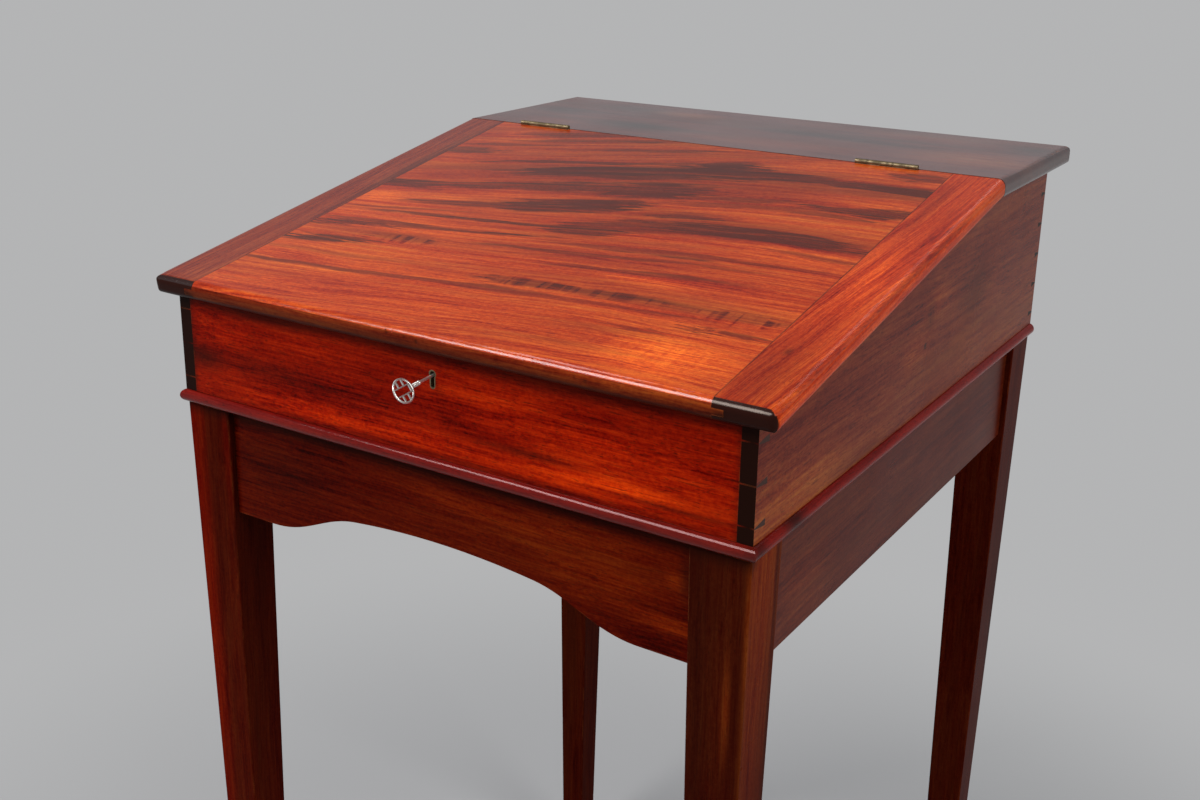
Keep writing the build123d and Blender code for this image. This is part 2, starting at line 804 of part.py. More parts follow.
# ---- Hinges: leaves let into the two edges, barrels proud of the top ----------------------------
for word, side in hinge_sides.items():
    middle = hinge_middle(side)
    left_end = middle - hinge_length / 2
    for leaf_name, face, parity in (("top_leaf", 1, 0), ("lid_leaf", -1, 1)):
        with BuildPart() as leaf:
            near = slope_run + face * seam_gap / 2
            far = near + face * hinge_leaf_thickness
            span_box(
                (left_end, left_end + hinge_length),
                (near, far),
                (hinge_low_up, top_surface_up - barrel_gap),
            )
            for step in range(knuckles):
                start = left_end + step * (knuckle_length + knuckle_gap)
                if step % 2 == parity:
                    hinge_barrel(start, start + knuckle_length, hinge_barrel_radius)
                    span_box(
                        (start, start + knuckle_length), (near, far), (hinge_low_up, hinge_axis_up)
                    )
                else:
                    gap_ends = (start - knuckle_gap, start + knuckle_length + knuckle_gap)
                    clear = hinge_barrel_radius + barrel_gap
                    hinge_barrel(
                        max(gap_ends[0], left_end),
                        min(gap_ends[1], left_end + hinge_length),
                        clear,
                        mode=Mode.SUBTRACT,
                    )
            hinge_barrel(
                left_end, left_end + hinge_length, hinge_pin_radius + running, mode=Mode.SUBTRACT
            )
            for x in hinge_screw_places(middle):
                screw_along_y(
                    x,
                    hinge_screw_up,
                    hinge_screw_radius,
                    hinge_screw_head_radius,
                    (near, near + face * hinge_screw_length),
                    mode=Mode.SUBTRACT,
                    gap=screw_fit,
                )
        write(leaf, f"hinge_{word}_{leaf_name}")
    with BuildPart() as pin:
        hinge_barrel(left_end, left_end + hinge_length, hinge_pin_radius)
    write(pin, f"hinge_{word}_pin")

for name, face in (("hinge_top_screws", 1), ("hinge_lid_screws", -1)):
    with BuildPart() as screws:
        near = slope_run + face * seam_gap / 2
        for side in hinge_sides.values():
            for x in hinge_screw_places(hinge_middle(side)):
                screw_along_y(
                    x,
                    hinge_screw_up,
                    hinge_screw_radius,
                    hinge_screw_head_radius,
                    (near, near + face * hinge_screw_length),
                )
    write(screws, name)

# ---- Keyhole escutcheon: a brass thread let in flush --------------------------------------------
with BuildPart() as escutcheon:
    with BuildSketch(front_plane(0)):
        keyhole_outline(0)
    extrude(amount=-escutcheon_depth)
    with BuildSketch(front_plane(0)):
        keyhole_outline(escutcheon_wall)
    extrude(amount=-escutcheon_depth, mode=Mode.SUBTRACT)
write(escutcheon, "keyhole_escutcheon")

# ---- Lock: plate with selvedge and studs, case, bolt, drill pin ---------------------------------
bolt_back = (bolt_middle_back - bolt_thickness / 2, bolt_middle_back + bolt_thickness / 2)
stud_up = keyhole_up + bolt_bar_low + bolt_bar_height / 2
staple_slot_half = staple_half_width + loose
staple_x = [lock_x - staple_spread, lock_x + staple_spread]

# The key and the pin that it fits over are built level, then turned about the pin's root.
drill_pin_seat = Location((lock_x, back_y(plate_face), up_z(keyhole_up)))
hanging = drill_pin_seat * Rotation(key_droop, 0, 0) * drill_pin_seat.inverse()
with BuildPart() as pin_hole:
    hole_ends = (plate_face - loose, front_thickness + loose)
    rod_along_y(lock_x, keyhole_up, drill_pin_radius + running, hole_ends)

with BuildPart() as lock_plate:
    with BuildSketch(section_plane(lock_x - lock_plate_half_width)):
        Polygon(
            (back_y(plate_face), up_z(plate_low)),
            (back_y(front_thickness), up_z(plate_low)),
            (back_y(front_thickness), up_z(rim_up(front_thickness))),
            (back_y(selvedge_front), up_z(rim_up(selvedge_front))),
            (back_y(selvedge_front), up_z(rim_up(selvedge_front) - selvedge_drop)),
            (back_y(plate_face), up_z(rim_up(plate_face) - selvedge_drop)),
        )
    extrude(amount=2 * lock_plate_half_width)
    for x in staple_x:
        lid_slab(
            (x - staple_thickness / 2 - loose, x + staple_thickness / 2 + loose),
            (staple_v - staple_slot_half, staple_v + staple_slot_half),
            (-lock_plate_thickness - loose, loose),
            mode=Mode.SUBTRACT,
        )
    for side in (-1, 1):
        x = lock_x + side * bolt_stud_spread
        rod_along_y(x, stud_up, bolt_stud_shoulder, (bolt_back[1] + barrel_gap, plate_face))
        rod_along_y(x, stud_up, bolt_stud_radius, (bolt_back[0] - loose, plate_face))
    add(hanging * pin_hole.part, mode=Mode.SUBTRACT)
    for x, up in lock_screw_places:
        screw_along_y(
            x,
            up,
            lock_screw_radius,
            lock_screw_head_radius,
            (front_thickness, front_thickness - lock_screw_length),
            mode=Mode.SUBTRACT,
            gap=screw_fit,
        )
write(lock_plate, "lock_plate")

with BuildPart() as lock_screws:
    for x, up in lock_screw_places:
        screw_along_y(
            x,
            up,
            lock_screw_radius,
            lock_screw_head_radius,
            (front_thickness, front_thickness - lock_screw_length),
        )
write(lock_screws, "lock_screws")

case_front = lock_face_depth
case_inner = case_front + lock_case_wall
case_half = lock_case_half_width
with BuildPart() as lock_case:
    span_box((lock_x - case_half, lock_x + case_half), (case_front, plate_face), (case_low, case_top))
    inner_half = case_half - lock_case_wall
    span_box(
        (lock_x - inner_half, lock_x + inner_half),
        (case_inner, plate_face),
        (case_low + lock_case_wall, case_top),
        mode=Mode.SUBTRACT,
    )
    with BuildSketch(front_plane(case_front)):
        keyhole_outline(escutcheon_wall)
    extrude(amount=-lock_case_wall, mode=Mode.SUBTRACT)
write(lock_case, "lock_case")

eye_centre = lid_plane.from_local_coords(Vector(0, staple_v, staple_eye_w))
prong_up = eye_centre.Z - stand_height
prong_ups = (prong_up - bolt_prong_height / 2, prong_up + bolt_prong_height / 2)
bar_ups = (keyhole_up + bolt_bar_low, keyhole_up + bolt_bar_low + bolt_bar_height)
prong_length = bolt_throw
with BuildPart() as lock_bolt:
    left_tip = lock_x - staple_spread - staple_thickness / 2 - loose
    bar_left = left_tip - prong_length - bolt_stem_width
    bar_right = lock_x + bolt_stud_spread + 2 * bolt_stud_radius
    span_box((bar_left, bar_right), bolt_back, bar_ups)
    for x in staple_x:
        tip = x - staple_thickness / 2 - loose
        root = tip - prong_length
        span_box((root - bolt_stem_width, tip), bolt_back, prong_ups)
        span_box((root - bolt_stem_width, root), bolt_back, (bar_ups[0], prong_ups[1]))
    notch_middle = lock_x - bolt_throw / 2
    span_box(
        (notch_middle - bolt_notch_half_width, notch_middle + bolt_notch_half_width),
        bolt_back,
        (bar_ups[0], bar_ups[0] + bolt_notch_height),
        mode=Mode.SUBTRACT,
    )
    with BuildSketch(front_plane(bolt_back[0])):
        for side in (-1, 1):
            x = lock_x + side * bolt_stud_spread - bolt_throw / 2
            with Locations((x, up_z(stud_up))):
                SlotCenterToCenter(bolt_throw, 2 * (bolt_stud_radius + running))
    extrude(amount=-bolt_thickness, mode=Mode.SUBTRACT)
write(lock_bolt, "lock_bolt")

with BuildPart() as drill_pin:
    rod_along_y(lock_x, keyhole_up, drill_pin_radius, (case_inner, front_thickness))
write(drill_pin, "drill_pin", hanging)

# ---- Link plate on the lid's underside, with two staples ----------------------------------------
with BuildPart() as link_plate:
    lid_slab(
        (lock_x - link_plate_half_width, lock_x + link_plate_half_width),
        link_plate_v,
        (0, lock_plate_thickness),
    )
    for x in staple_x:
        ends = (x - staple_thickness / 2, x + staple_thickness / 2)
        staple_span = (staple_v - staple_half_width, staple_v + staple_half_width)
        lid_slab(ends, staple_span, (-staple_length, 0))
        eye_half = staple_half_width - staple_wall
        lid_slab(
            ends,
            (staple_v - eye_half, staple_v + eye_half),
            (staple_eye_w - staple_eye_height / 2, staple_eye_w + staple_eye_height / 2),
            mode=Mode.SUBTRACT,
        )
    for side in (-1, 1):
        link_screw(side, screw_fit, mode=Mode.SUBTRACT)
write(link_plate, "link_plate")

with BuildPart() as link_screws:
    for side in (-1, 1):
        link_screw(side, 0)
write(link_screws, "link_plate_screws")

# ---- Key: barrel key with a round fretted bow ---------------------------------------------------
bit_middle = (case_inner + plate_face) / 2
barrel_end = plate_face - barrel_gap
bow_plane = Plane(
    origin=(lock_x, back_y(-key_bow_out), up_z(keyhole_up)),
    x_dir=(0, -1, 0),
    z_dir=(cos(bow_turn), 0, sin(bow_turn)),
)

with BuildPart() as key:
    rod_along_y(lock_x, keyhole_up, key_barrel_radius, (-key_collar_out, barrel_end))
    rod_along_y(lock_x, keyhole_up, key_neck_radius, (-key_bow_out + ring_radius, -key_collar_out))
    with Locations((lock_x, back_y(-key_collar_out), up_z(keyhole_up))):
        Sphere(key_collar_radius)
    span_box(
        (lock_x - key_bit_thickness / 2, lock_x + key_bit_thickness / 2),
        (bit_middle - key_bit_length / 2, bit_middle + key_bit_length / 2),
        (keyhole_up - key_bit_reach, keyhole_up),
    )
    with Locations(bow_plane):
        Torus(ring_radius, key_bow_wire)
    with BuildSketch(bow_plane):
        long_half = (ring_radius**2 - key_long_bar_offset**2) ** 0.5
        for shift in (-1, 1):
            with Locations((0, shift * key_long_bar_offset)):
                Rectangle(2 * long_half, key_bar_width)
            short_length = (ring_radius**2 - key_short_bar_offset**2) ** 0.5 - key_long_bar_offset
            for step in (-1, 1):
                short_middle = shift * (key_long_bar_offset + short_length / 2)
                with Locations((step * key_short_bar_offset, short_middle)):
                    Rectangle(key_bar_width, short_length)
        with Locations((-key_neck_bar_offset, 0)):
            Rectangle(key_bar_width, 2 * key_long_bar_offset)
    extrude(amount=key_bar_thickness / 2, both=True)
    rod_along_y(
        lock_x,
        keyhole_up,
        drill_pin_radius + running,
        (case_inner - barrel_gap - loose, barrel_end),
        mode=Mode.SUBTRACT,
    )
write(key, "key", hanging)
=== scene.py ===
"""Finishes the clerk's standing desk: polished mahogany, old brass, a nickel key and a pale floor.

Metres, in the frame's own axes: +X to the sitter's right, +Y to the back, +Z up, floor at Z = 0.
Wooden pieces are softened copies of the frame's boards, so they keep their sizes and places.
"""

import math

import bmesh
import bpy
from mathutils import Matrix, Vector, noise


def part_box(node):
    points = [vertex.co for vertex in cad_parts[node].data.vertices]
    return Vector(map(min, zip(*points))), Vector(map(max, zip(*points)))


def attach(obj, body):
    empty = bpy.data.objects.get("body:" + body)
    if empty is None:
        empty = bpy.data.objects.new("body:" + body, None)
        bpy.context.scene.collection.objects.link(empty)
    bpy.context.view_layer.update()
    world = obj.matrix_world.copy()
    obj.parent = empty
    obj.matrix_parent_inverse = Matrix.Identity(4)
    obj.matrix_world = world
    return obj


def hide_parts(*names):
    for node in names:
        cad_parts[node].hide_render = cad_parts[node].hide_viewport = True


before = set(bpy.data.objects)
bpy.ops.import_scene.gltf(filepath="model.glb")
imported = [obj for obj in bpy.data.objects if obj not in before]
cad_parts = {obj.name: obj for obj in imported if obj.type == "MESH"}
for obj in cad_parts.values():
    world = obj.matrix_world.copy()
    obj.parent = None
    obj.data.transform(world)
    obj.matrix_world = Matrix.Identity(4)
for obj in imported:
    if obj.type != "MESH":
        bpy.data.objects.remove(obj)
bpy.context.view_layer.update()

bl_info = {
    "name": "Clerk's standing desk",
    "version": (1, 0, 0),
    "blender": (4, 5, 0),
    "location": "View3D > Sidebar > Desk",
    "description": "Polished mahogany, brass and nickel for a slope-top standing desk",
    "category": "Object",
}

MM = 0.001

# ---- Places read from the frame ----
front_low, front_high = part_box("box_front")
_, side_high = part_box("box_right")
top_low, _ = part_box("fixed_top")
eye_low, eye_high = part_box("keyhole_escutcheon")

FRONT_Y = front_low.y
BACK_Y = side_high.y
STAND_TOP = front_low.z
SIDE_X = side_high.x
SEAM_Y = top_low.y
SLOPE = math.atan2(side_high.z - front_high.z, SEAM_Y - front_high.y)
KEY_X = (eye_low.x + eye_high.x) / 2
KEY_HANG = math.radians(4.0)


# ---- Settings that a user would change ----
def colour(name, description, default):
    return bpy.props.FloatVectorProperty(
        name=name, description=description, subtype="COLOR", size=3, min=0.0, max=1.0, default=default
    )


def length(name, description, default):
    return bpy.props.FloatProperty(
        name=name, description=description, subtype="DISTANCE", unit="LENGTH", min=0.0, default=default
    )


def power(name, description, default):
    return bpy.props.FloatProperty(
        name=name, description=description, subtype="POWER", unit="POWER", min=0.0, default=default
    )


class DeskWood(bpy.types.PropertyGroup):
    """Colours of the polished wood."""

    lid_ground: colour("Lid ground", "Orange-red between the lid's ribbons", (0.53, 0.060, 0.0068))
    lid_ribbon: colour("Lid ribbon", "Dark brown figure in the lid", (0.070, 0.010, 0.005))
    # Darker copy of the lid's colour for its nose: painted shade on the down-turned faces, with some
    # soiling
    shaded_nose_ground: colour("Lid nose", "Browner front of the lid's rounded edge", (0.20, 0.024, 0.005))
    left_cleat: colour("Left cleat", "Red wood of the lid's left cleat", (0.23, 0.026, 0.007))
    right_cleat: colour("Right cleat", "Brighter wood of the lid's right cleat", (0.50, 0.046, 0.006))
    cleat_end: colour("Cleat end", "Dark red-brown of the cleats' front ends", (0.022, 0.0060, 0.0042))
    front_ground: colour("Front ground", "Deep red of the box front", (0.24, 0.0070, 0.0006))
    side_ground: colour("Side ground", "Browner, faded red of the box sides", (0.155, 0.022, 0.006))
    top_ground: colour("Top ground", "Dark red of the fixed top", (0.110, 0.016, 0.010))
    stand_ground: colour("Stand ground", "Dark red-brown of legs and aprons", (0.092, 0.0052, 0.0006))
    side_apron: colour("Side apron", "Browner red of the aprons at the sides", (0.084, 0.0095, 0.0032))
    bead_ground: colour("Bead ground", "Crimson of the bead", (0.170, 0.0060, 0.0032))
    dark_figure: colour("Dark figure", "Darkest lines in front and stand", (0.022, 0.0035, 0.0015))
    # Also the near-black that the darker patches and the corners blend towards, painted shade among
    # them
    end_grain_and_shade: colour("End grain", "Near-black of polished end grain", (0.012, 0.0035, 0.0022))
    pin_end: colour("Pin end", "Brown end grain of the front's dovetails", (0.040, 0.014, 0.009))
    bare_edge: colour("Worn edge", "Wood where the polish has worn through", (0.42, 0.12, 0.035))
    deal: colour("Deal", "Pine of the bottom and the glue blocks", (0.50, 0.30, 0.13))


class DeskMetal(bpy.types.PropertyGroup):
    """Colours of the metal pieces."""

    brass: colour("Brass", "Dulled old brass", (0.25, 0.19, 0.11))
    nickel: colour("Nickel", "Plate of the key", (0.80, 0.78, 0.74))
    iron: colour("Iron", "Screws", (0.16, 0.15, 0.14))


class DeskWear(bpy.types.PropertyGroup):
    """Sizes of the handling marks."""

    arris: length("Arris", "Radius worn on the boards' edges", 0.7 * MM)
    waver: length("Waver", "How far a nosing strays from straight", 0.22 * MM)
    pit_depth: length("Pit depth", "Deepest knock in the lid's front edge", 0.45 * MM)


class DeskStage(bpy.types.PropertyGroup):
    """Floor, lamps and lens."""

    floor: colour("Floor", "Pale grey floor", (0.46, 0.465, 0.475))
    far_floor: bpy.props.FloatProperty(
        name="Far floor", description="Level of the floor away from the desk", default=0.463, min=0.0
    )
    window: power("Window", "Power of the narrow lamp that draws thin lights on the edges", 5.0)
    front: power("Front", "Power of the soft lamp in front", 74.0)
    right: power("Right", "Power of the soft lamp at the right", 50.0)
    back: power("Back", "Power of the soft lamp behind and above", 7.0)
    wall: colour("Wall", "Tone of the room low down", (0.43, 0.435, 0.45))
    ceiling: colour("Ceiling", "Tone of the room higher up", (0.18, 0.185, 0.20))
    lens: bpy.props.FloatProperty(
        name="Lens", description="Focal length in millimetres", default=42.40, min=10.0
    )


GROUPS = (
    ("desk_wood", DeskWood),
    ("desk_metal", DeskMetal),
    ("desk_wear", DeskWear),
    ("desk_stage", DeskStage),
)


# ---- Wiring of nodes ----
class Wiring:
    """Adds nodes to one tree. An input is given a number, a colour or another node's output."""

    def __init__(self, tree):
        self.tree = tree

    def add(self, kind, values=(), **settings):
        node = self.tree.nodes.new(kind)
        for name, value in settings.items():
            setattr(node, name, value)
        self.fill(node, dict(values))
        return node

    def fill(self, node, values):
        for place, value in values.items():
            self.give(node.inputs[place], value)

    def give(self, socket, value):
        if isinstance(value, bpy.types.NodeSocket):
            self.tree.links.new(value, socket)
        else:
            socket.default_value = value

    def calc(self, operation, a, b=0.0, c=0.0, clamp=False):
        values = {0: a, 1: b, 2: c}
        return self.add("ShaderNodeMath", values, operation=operation, use_clamp=clamp).outputs[0]

    def vector(self, operation, a, b):
        return self.add("ShaderNodeVectorMath", {0: a, 1: b}, operation=operation).outputs[0]

    def size_of(self, place):
        return self.add("ShaderNodeVectorMath", {0: place}, operation="LENGTH").outputs["Value"]

    def split(self, place):
        return self.add("ShaderNodeSeparateXYZ", {0: place}).outputs

    def join(self, *parts):
        return self.add("ShaderNodeCombineXYZ", dict(enumerate(parts))).outputs[0]

    def bump(self, strength, distance, height):
        values = {"Strength": strength, "Distance": distance, "Height": height}
        return self.add("ShaderNodeBump", values).outputs[0]

    def group(self, name, maker, values):
        """An effect that several materials share: its node group, made the first time."""
        tree = bpy.data.node_groups.get(name) or maker()
        return self.add("ShaderNodeGroup", values, node_tree=tree).outputs

    def step(self, value, low, high):
        """0 below low, 1 above high, eased between; low above high turns it round."""
        limits = {0: value, 1: low, 2: high}
        return self.add("ShaderNodeMapRange", limits, interpolation_type="SMOOTHSTEP").outputs[0]

    def between(self, value, low, high):
        return self.add("ShaderNodeMapRange", {0: value, 1: 0.0, 2: 1.0, 3: low, 4: high}).outputs[0]

    def blend(self, share_of_b, a, b, kind="MIX"):
        node = self.add("ShaderNodeMix", data_type="RGBA", blend_type=kind)
        self.give(node.inputs[0], share_of_b)
        self.give(node.inputs[6], a)
        self.give(node.inputs[7], b)
        return node.outputs[2]

    def cloud(self, place, stretch, detail=2.0, roughness=0.5, shift=0.0):
        """Noise about 0.5, at this many waves per metre along each axis."""
        spread = self.vector("MULTIPLY", place, stretch)
        moved = self.vector("ADD", spread, (shift, shift * 1.7, shift * 0.6))
        values = {"Vector": moved, "Scale": 1.0, "Detail": detail, "Roughness": roughness}
        return self.add("ShaderNodeTexNoise", values).outputs[0]

    def patch(self, place, row):
        """Soft patch from (x, back, up, its reach along X, Y and Z, strength), in millimetres."""
        x, back, up, *reach, strength = row
        away = self.vector("SUBTRACT", place, frame_point(x, back, up))
        shrunk = self.vector("DIVIDE", away, [r * MM for r in reach])
        return self.calc("MULTIPLY", self.step(self.size_of(shrunk), 1.0, 0.0), strength)


def full(rgb):
    return (*rgb, 1.0)


def new_group(name, takes, gives):
    """Empty node group with its sockets, and the wiring inside it."""
    tree = bpy.data.node_groups.new(name, "ShaderNodeTree")
    for direction, sockets in (("INPUT", takes), ("OUTPUT", gives)):
        for label, kind in sockets:
            tree.interface.new_socket(name=label, in_out=direction, socket_type=f"NodeSocket{kind}")
    wiring = Wiring(tree)
    return tree, wiring, wiring.add("NodeGroupInput").outputs, wiring.add("NodeGroupOutput").inputs


def figure_group():
    """Figure of mahogany whose grain runs along X: ribbons, streaks, fine lines, pores and ripple."""
    takes = [
        ("Place", "Vector"),
        ("Ground", "Color"),
        ("Ribbon", "Color"),
        ("Boldness", "Float"),
        ("Contrast", "Float"),
        ("Placed", "Float"),
        ("Rippled", "Float"),
        ("Shift", "Float"),
    ]
    tree, w, given, out = new_group("Mahogany figure", takes, [("Colour", "Color"), ("Pores", "Float")])
    place = w.vector("ADD", given["Place"], w.join(*[given["Shift"]] * 3))
    part = w.split(place)
    drift = w.calc("SUBTRACT", w.cloud(place, (1.6, 5.0, 5.0)), 0.5)
    ripple = w.calc("SUBTRACT", w.cloud(place, (10.0, 32.0, 32.0), shift=4.0), 0.5)
    feather = w.calc("SUBTRACT", w.cloud(place, (24.0, 380.0, 280.0), shift=9.0), 0.5)
    across = w.calc("MULTIPLY_ADD", drift, 0.050, w.calc("MULTIPLY_ADD", ripple, 0.010, part[1]))
    along = w.calc("MULTIPLY_ADD", feather, 0.080, part[0])
    wood = w.join(along, across, part[2])
    flame = w.cloud(wood, (3.0, 11.0, 11.0), detail=2.0, shift=8.0)
    broad = w.cloud(wood, (2.4, 30.0, 24.0), detail=3.0, roughness=0.55, shift=2.0)
    narrow = w.cloud(wood, (3.2, 88.0, 66.0), detail=3.0, roughness=0.55, shift=6.0)
    lines = w.cloud(wood, (6.0, 230.0, 170.0), detail=3.0, roughness=0.6, shift=1.0)
    hairs = w.cloud(wood, (22.0, 800.0, 600.0), detail=1.0, shift=3.0)
    specks = w.cloud(place, (260.0, 420.0, 340.0), detail=2.0, roughness=0.7, shift=13.0)
    cross = w.step(w.cloud(place, (150.0, 9.0, 9.0), detail=1.0, shift=5.0), 0.40, 0.60)
    cross = w.calc("MULTIPLY", w.calc("SUBTRACT", cross, 0.8), given["Rippled"])
    swing = w.calc("MULTIPLY", cross, 0.42)
    shares = ((flame, 0.8), (broad, 0.5), (narrow, 0.8), (lines, 1.0), (hairs, 0.7), (specks, 0.6))
    for cloud, share in shares:
        swing = w.calc("MULTIPLY_ADD", w.calc("SUBTRACT", cloud, 0.5), share, swing)
    lit = w.calc("MAXIMUM", w.calc("MULTIPLY_ADD", swing, given["Contrast"], 1.0), 0.12)
    swung = w.join(*(w.calc("POWER", lit, rate) for rate in (0.85, 1.9, 1.6)))
    base = w.vector("MULTIPLY", given["Ground"], swung)
    wide = w.calc("MULTIPLY", w.step(broad, 0.48, 0.68), 0.80)
    thin = w.calc("MULTIPLY", w.step(narrow, 0.50, 0.68), 0.60)
    bold = w.calc("MULTIPLY", w.calc("ADD", wide, thin), given["Boldness"])
    inner = w.calc("MULTIPLY", w.between(lines, 0.60, 1.35), w.calc("MULTIPLY_ADD", cross, -0.6, 1.0))
    bold = w.calc("MULTIPLY_ADD", given["Placed"], inner, bold, clamp=True)
    dashes = w.cloud(wood, (150.0, 1500.0, 1100.0), detail=0.0, shift=7.0)
    pores = w.step(dashes, 0.62, 0.72)
    w.give(out["Pores"], pores)
    dark = w.calc("MAXIMUM", w.calc("MULTIPLY", bold, 0.94), w.calc("MULTIPLY", pores, 0.5))
    w.give(out["Colour"], w.blend(dark, base, given["Ribbon"]))
    return tree


def edge_group():
    """Marks arrises: 1 where the surface turns a convex or hollow corner within the reach."""
    tree, w, given, out = new_group("Edge wear", [("Reach", "Float")], [("Edge", "Float")])
    rounded = w.add("ShaderNodeBevel", {"Radius": given["Reach"]}, samples=4).outputs[0]
    true_normal = w.add("ShaderNodeNewGeometry").outputs["True Normal"]
    same = w.add("ShaderNodeVectorMath", {0: rounded, 1: true_normal}, operation="DOT_PRODUCT")
    w.give(out["Edge"], w.step(same.outputs["Value"], 0.995, 0.86))
    return tree


def grime_and_shade_group():
    """Marks corners where old polish and dust gather and where shade falls: dust and painted shade
    together.
    """
    tree, w, given, out = new_group("Grime", [("Reach", "Float")], [("Grime", "Float")])
    open_share = w.add("ShaderNodeAmbientOcclusion", {"Distance": given["Reach"]}, samples=4)
    w.give(out["Grime"], w.step(open_share.outputs["AO"], 0.62, 0.20))
    return tree


def inside_group():
    """1 for places inside a box in the desk's frame, whose faces the polisher never reached."""
    takes = [("Place", "Vector"), ("Low", "Vector"), ("High", "Vector")]
    tree, w, given, out = new_group("Unpolished inside", takes, [("Inside", "Float")])
    part, low, high = (w.split(given[name]) for name in ("Place", "Low", "High"))
    total = 1.0
    for axis in range(3):
        above = w.calc("GREATER_THAN", part[axis], low[axis])
        below = w.calc("LESS_THAN", part[axis], high[axis])
        total = w.calc("MULTIPLY", w.calc("MULTIPLY", above, below), total)
    w.give(out["Inside"], total)
    return tree


# ---- Finishes ----
def shader_of(name):
    """New material with its wiring and its principled shader."""
    material = bpy.data.materials.new(name)
    material.use_nodes = True
    return material, Wiring(material.node_tree), material.node_tree.nodes["Principled BSDF"]


# Turns that bring each grain direction onto X.
GRAIN_X = (0.0, 0.0, 0.0)
GRAIN_Y = (0.0, 0.0, -math.pi / 2)
GRAIN_Z = (0.0, math.pi / 2, 0.0)
ALONG_LID = (-SLOPE, 0.0, 0.0)
UP_LID = (-SLOPE, 0.0, -math.pi / 2)
UP_LID_ASKEW = (-SLOPE, 0.0, math.radians(-85.0))
BOX_SIDE = (0.0, math.radians(11), -math.pi / 2)
SIDE_APRON = (0.0, math.radians(14), -math.pi / 2)

# How wide the rubbed arrises are, and the corners dark with dust and painted shade
WORN_WIDTH = 1.6 * MM
GRIME_AND_SHADE_WIDTH = 14 * MM


def within(margin, low, high):
    """Box that lies this far inside the desk's outline, between two heights."""
    return (-SIDE_X + margin, FRONT_Y + margin, low), (SIDE_X - margin, BACK_Y - margin, high)


# Where wood is bare: inside the box, and behind the faces of the aprons
UNPOLISHED_BOX = within(1.5 * MM, STAND_TOP - 5 * MM, side_high.z + 5 * MM)
UNPOLISHED_STAND = within(9.5 * MM, STAND_TOP - 0.5, STAND_TOP)


def placed_streaks(w, place, streaks):
    """Darkness of streaks, from rows of (along, across, half length, half width, turn, strength)."""
    part = w.split(place)
    feather = w.calc("SUBTRACT", w.cloud(place, (26.0, 300.0, 220.0), detail=3.0, shift=19.0), 0.5)
    ripple = w.calc("SUBTRACT", w.cloud(place, (9.0, 46.0, 40.0), detail=3.0, shift=14.0), 0.5)
    along = w.calc("MULTIPLY_ADD", feather, 0.15, part[0])
    across = w.calc("MULTIPLY_ADD", ripple, 0.026, part[1])
    frayed = w.join(along, across)
    mask = 0.0
    for x, y, length_, width, turn, strength in streaks:
        values = {
            "Vector": frayed,
            "Location": (x * MM, y * MM, 0.0),
            "Rotation": (0.0, 0.0, turn),
            "Scale": (length_ * MM, width * MM, 1.0),
        }
        local = w.add("ShaderNodeMapping", values, vector_type="TEXTURE").outputs[0]
        dark = w.calc("MULTIPLY", w.step(w.size_of(local), 1.22, 0.70), strength)
        mask = w.calc("MAXIMUM", dark, mask)
    strands = w.cloud(frayed, (5.0, 130.0, 1.0), detail=3.0, roughness=0.6, shift=23.0)
    return w.calc("MULTIPLY", mask, w.between(w.step(strands, 0.32, 0.55), 0.68, 1.0))


def swept_lid(w, place):
    """Bends the lid's grain: it climbs from the left end and levels out towards the right."""
    part = w.split(place)
    fall = w.step(part[0], 0.23, -0.45)
    reach = w.calc("MULTIPLY_ADD", w.step(part[1], 0.10, 0.30), 0.085, 0.050)
    across = w.calc("MULTIPLY_ADD", reach, fall, part[1])
    return w.join(part[0], across, part[2])


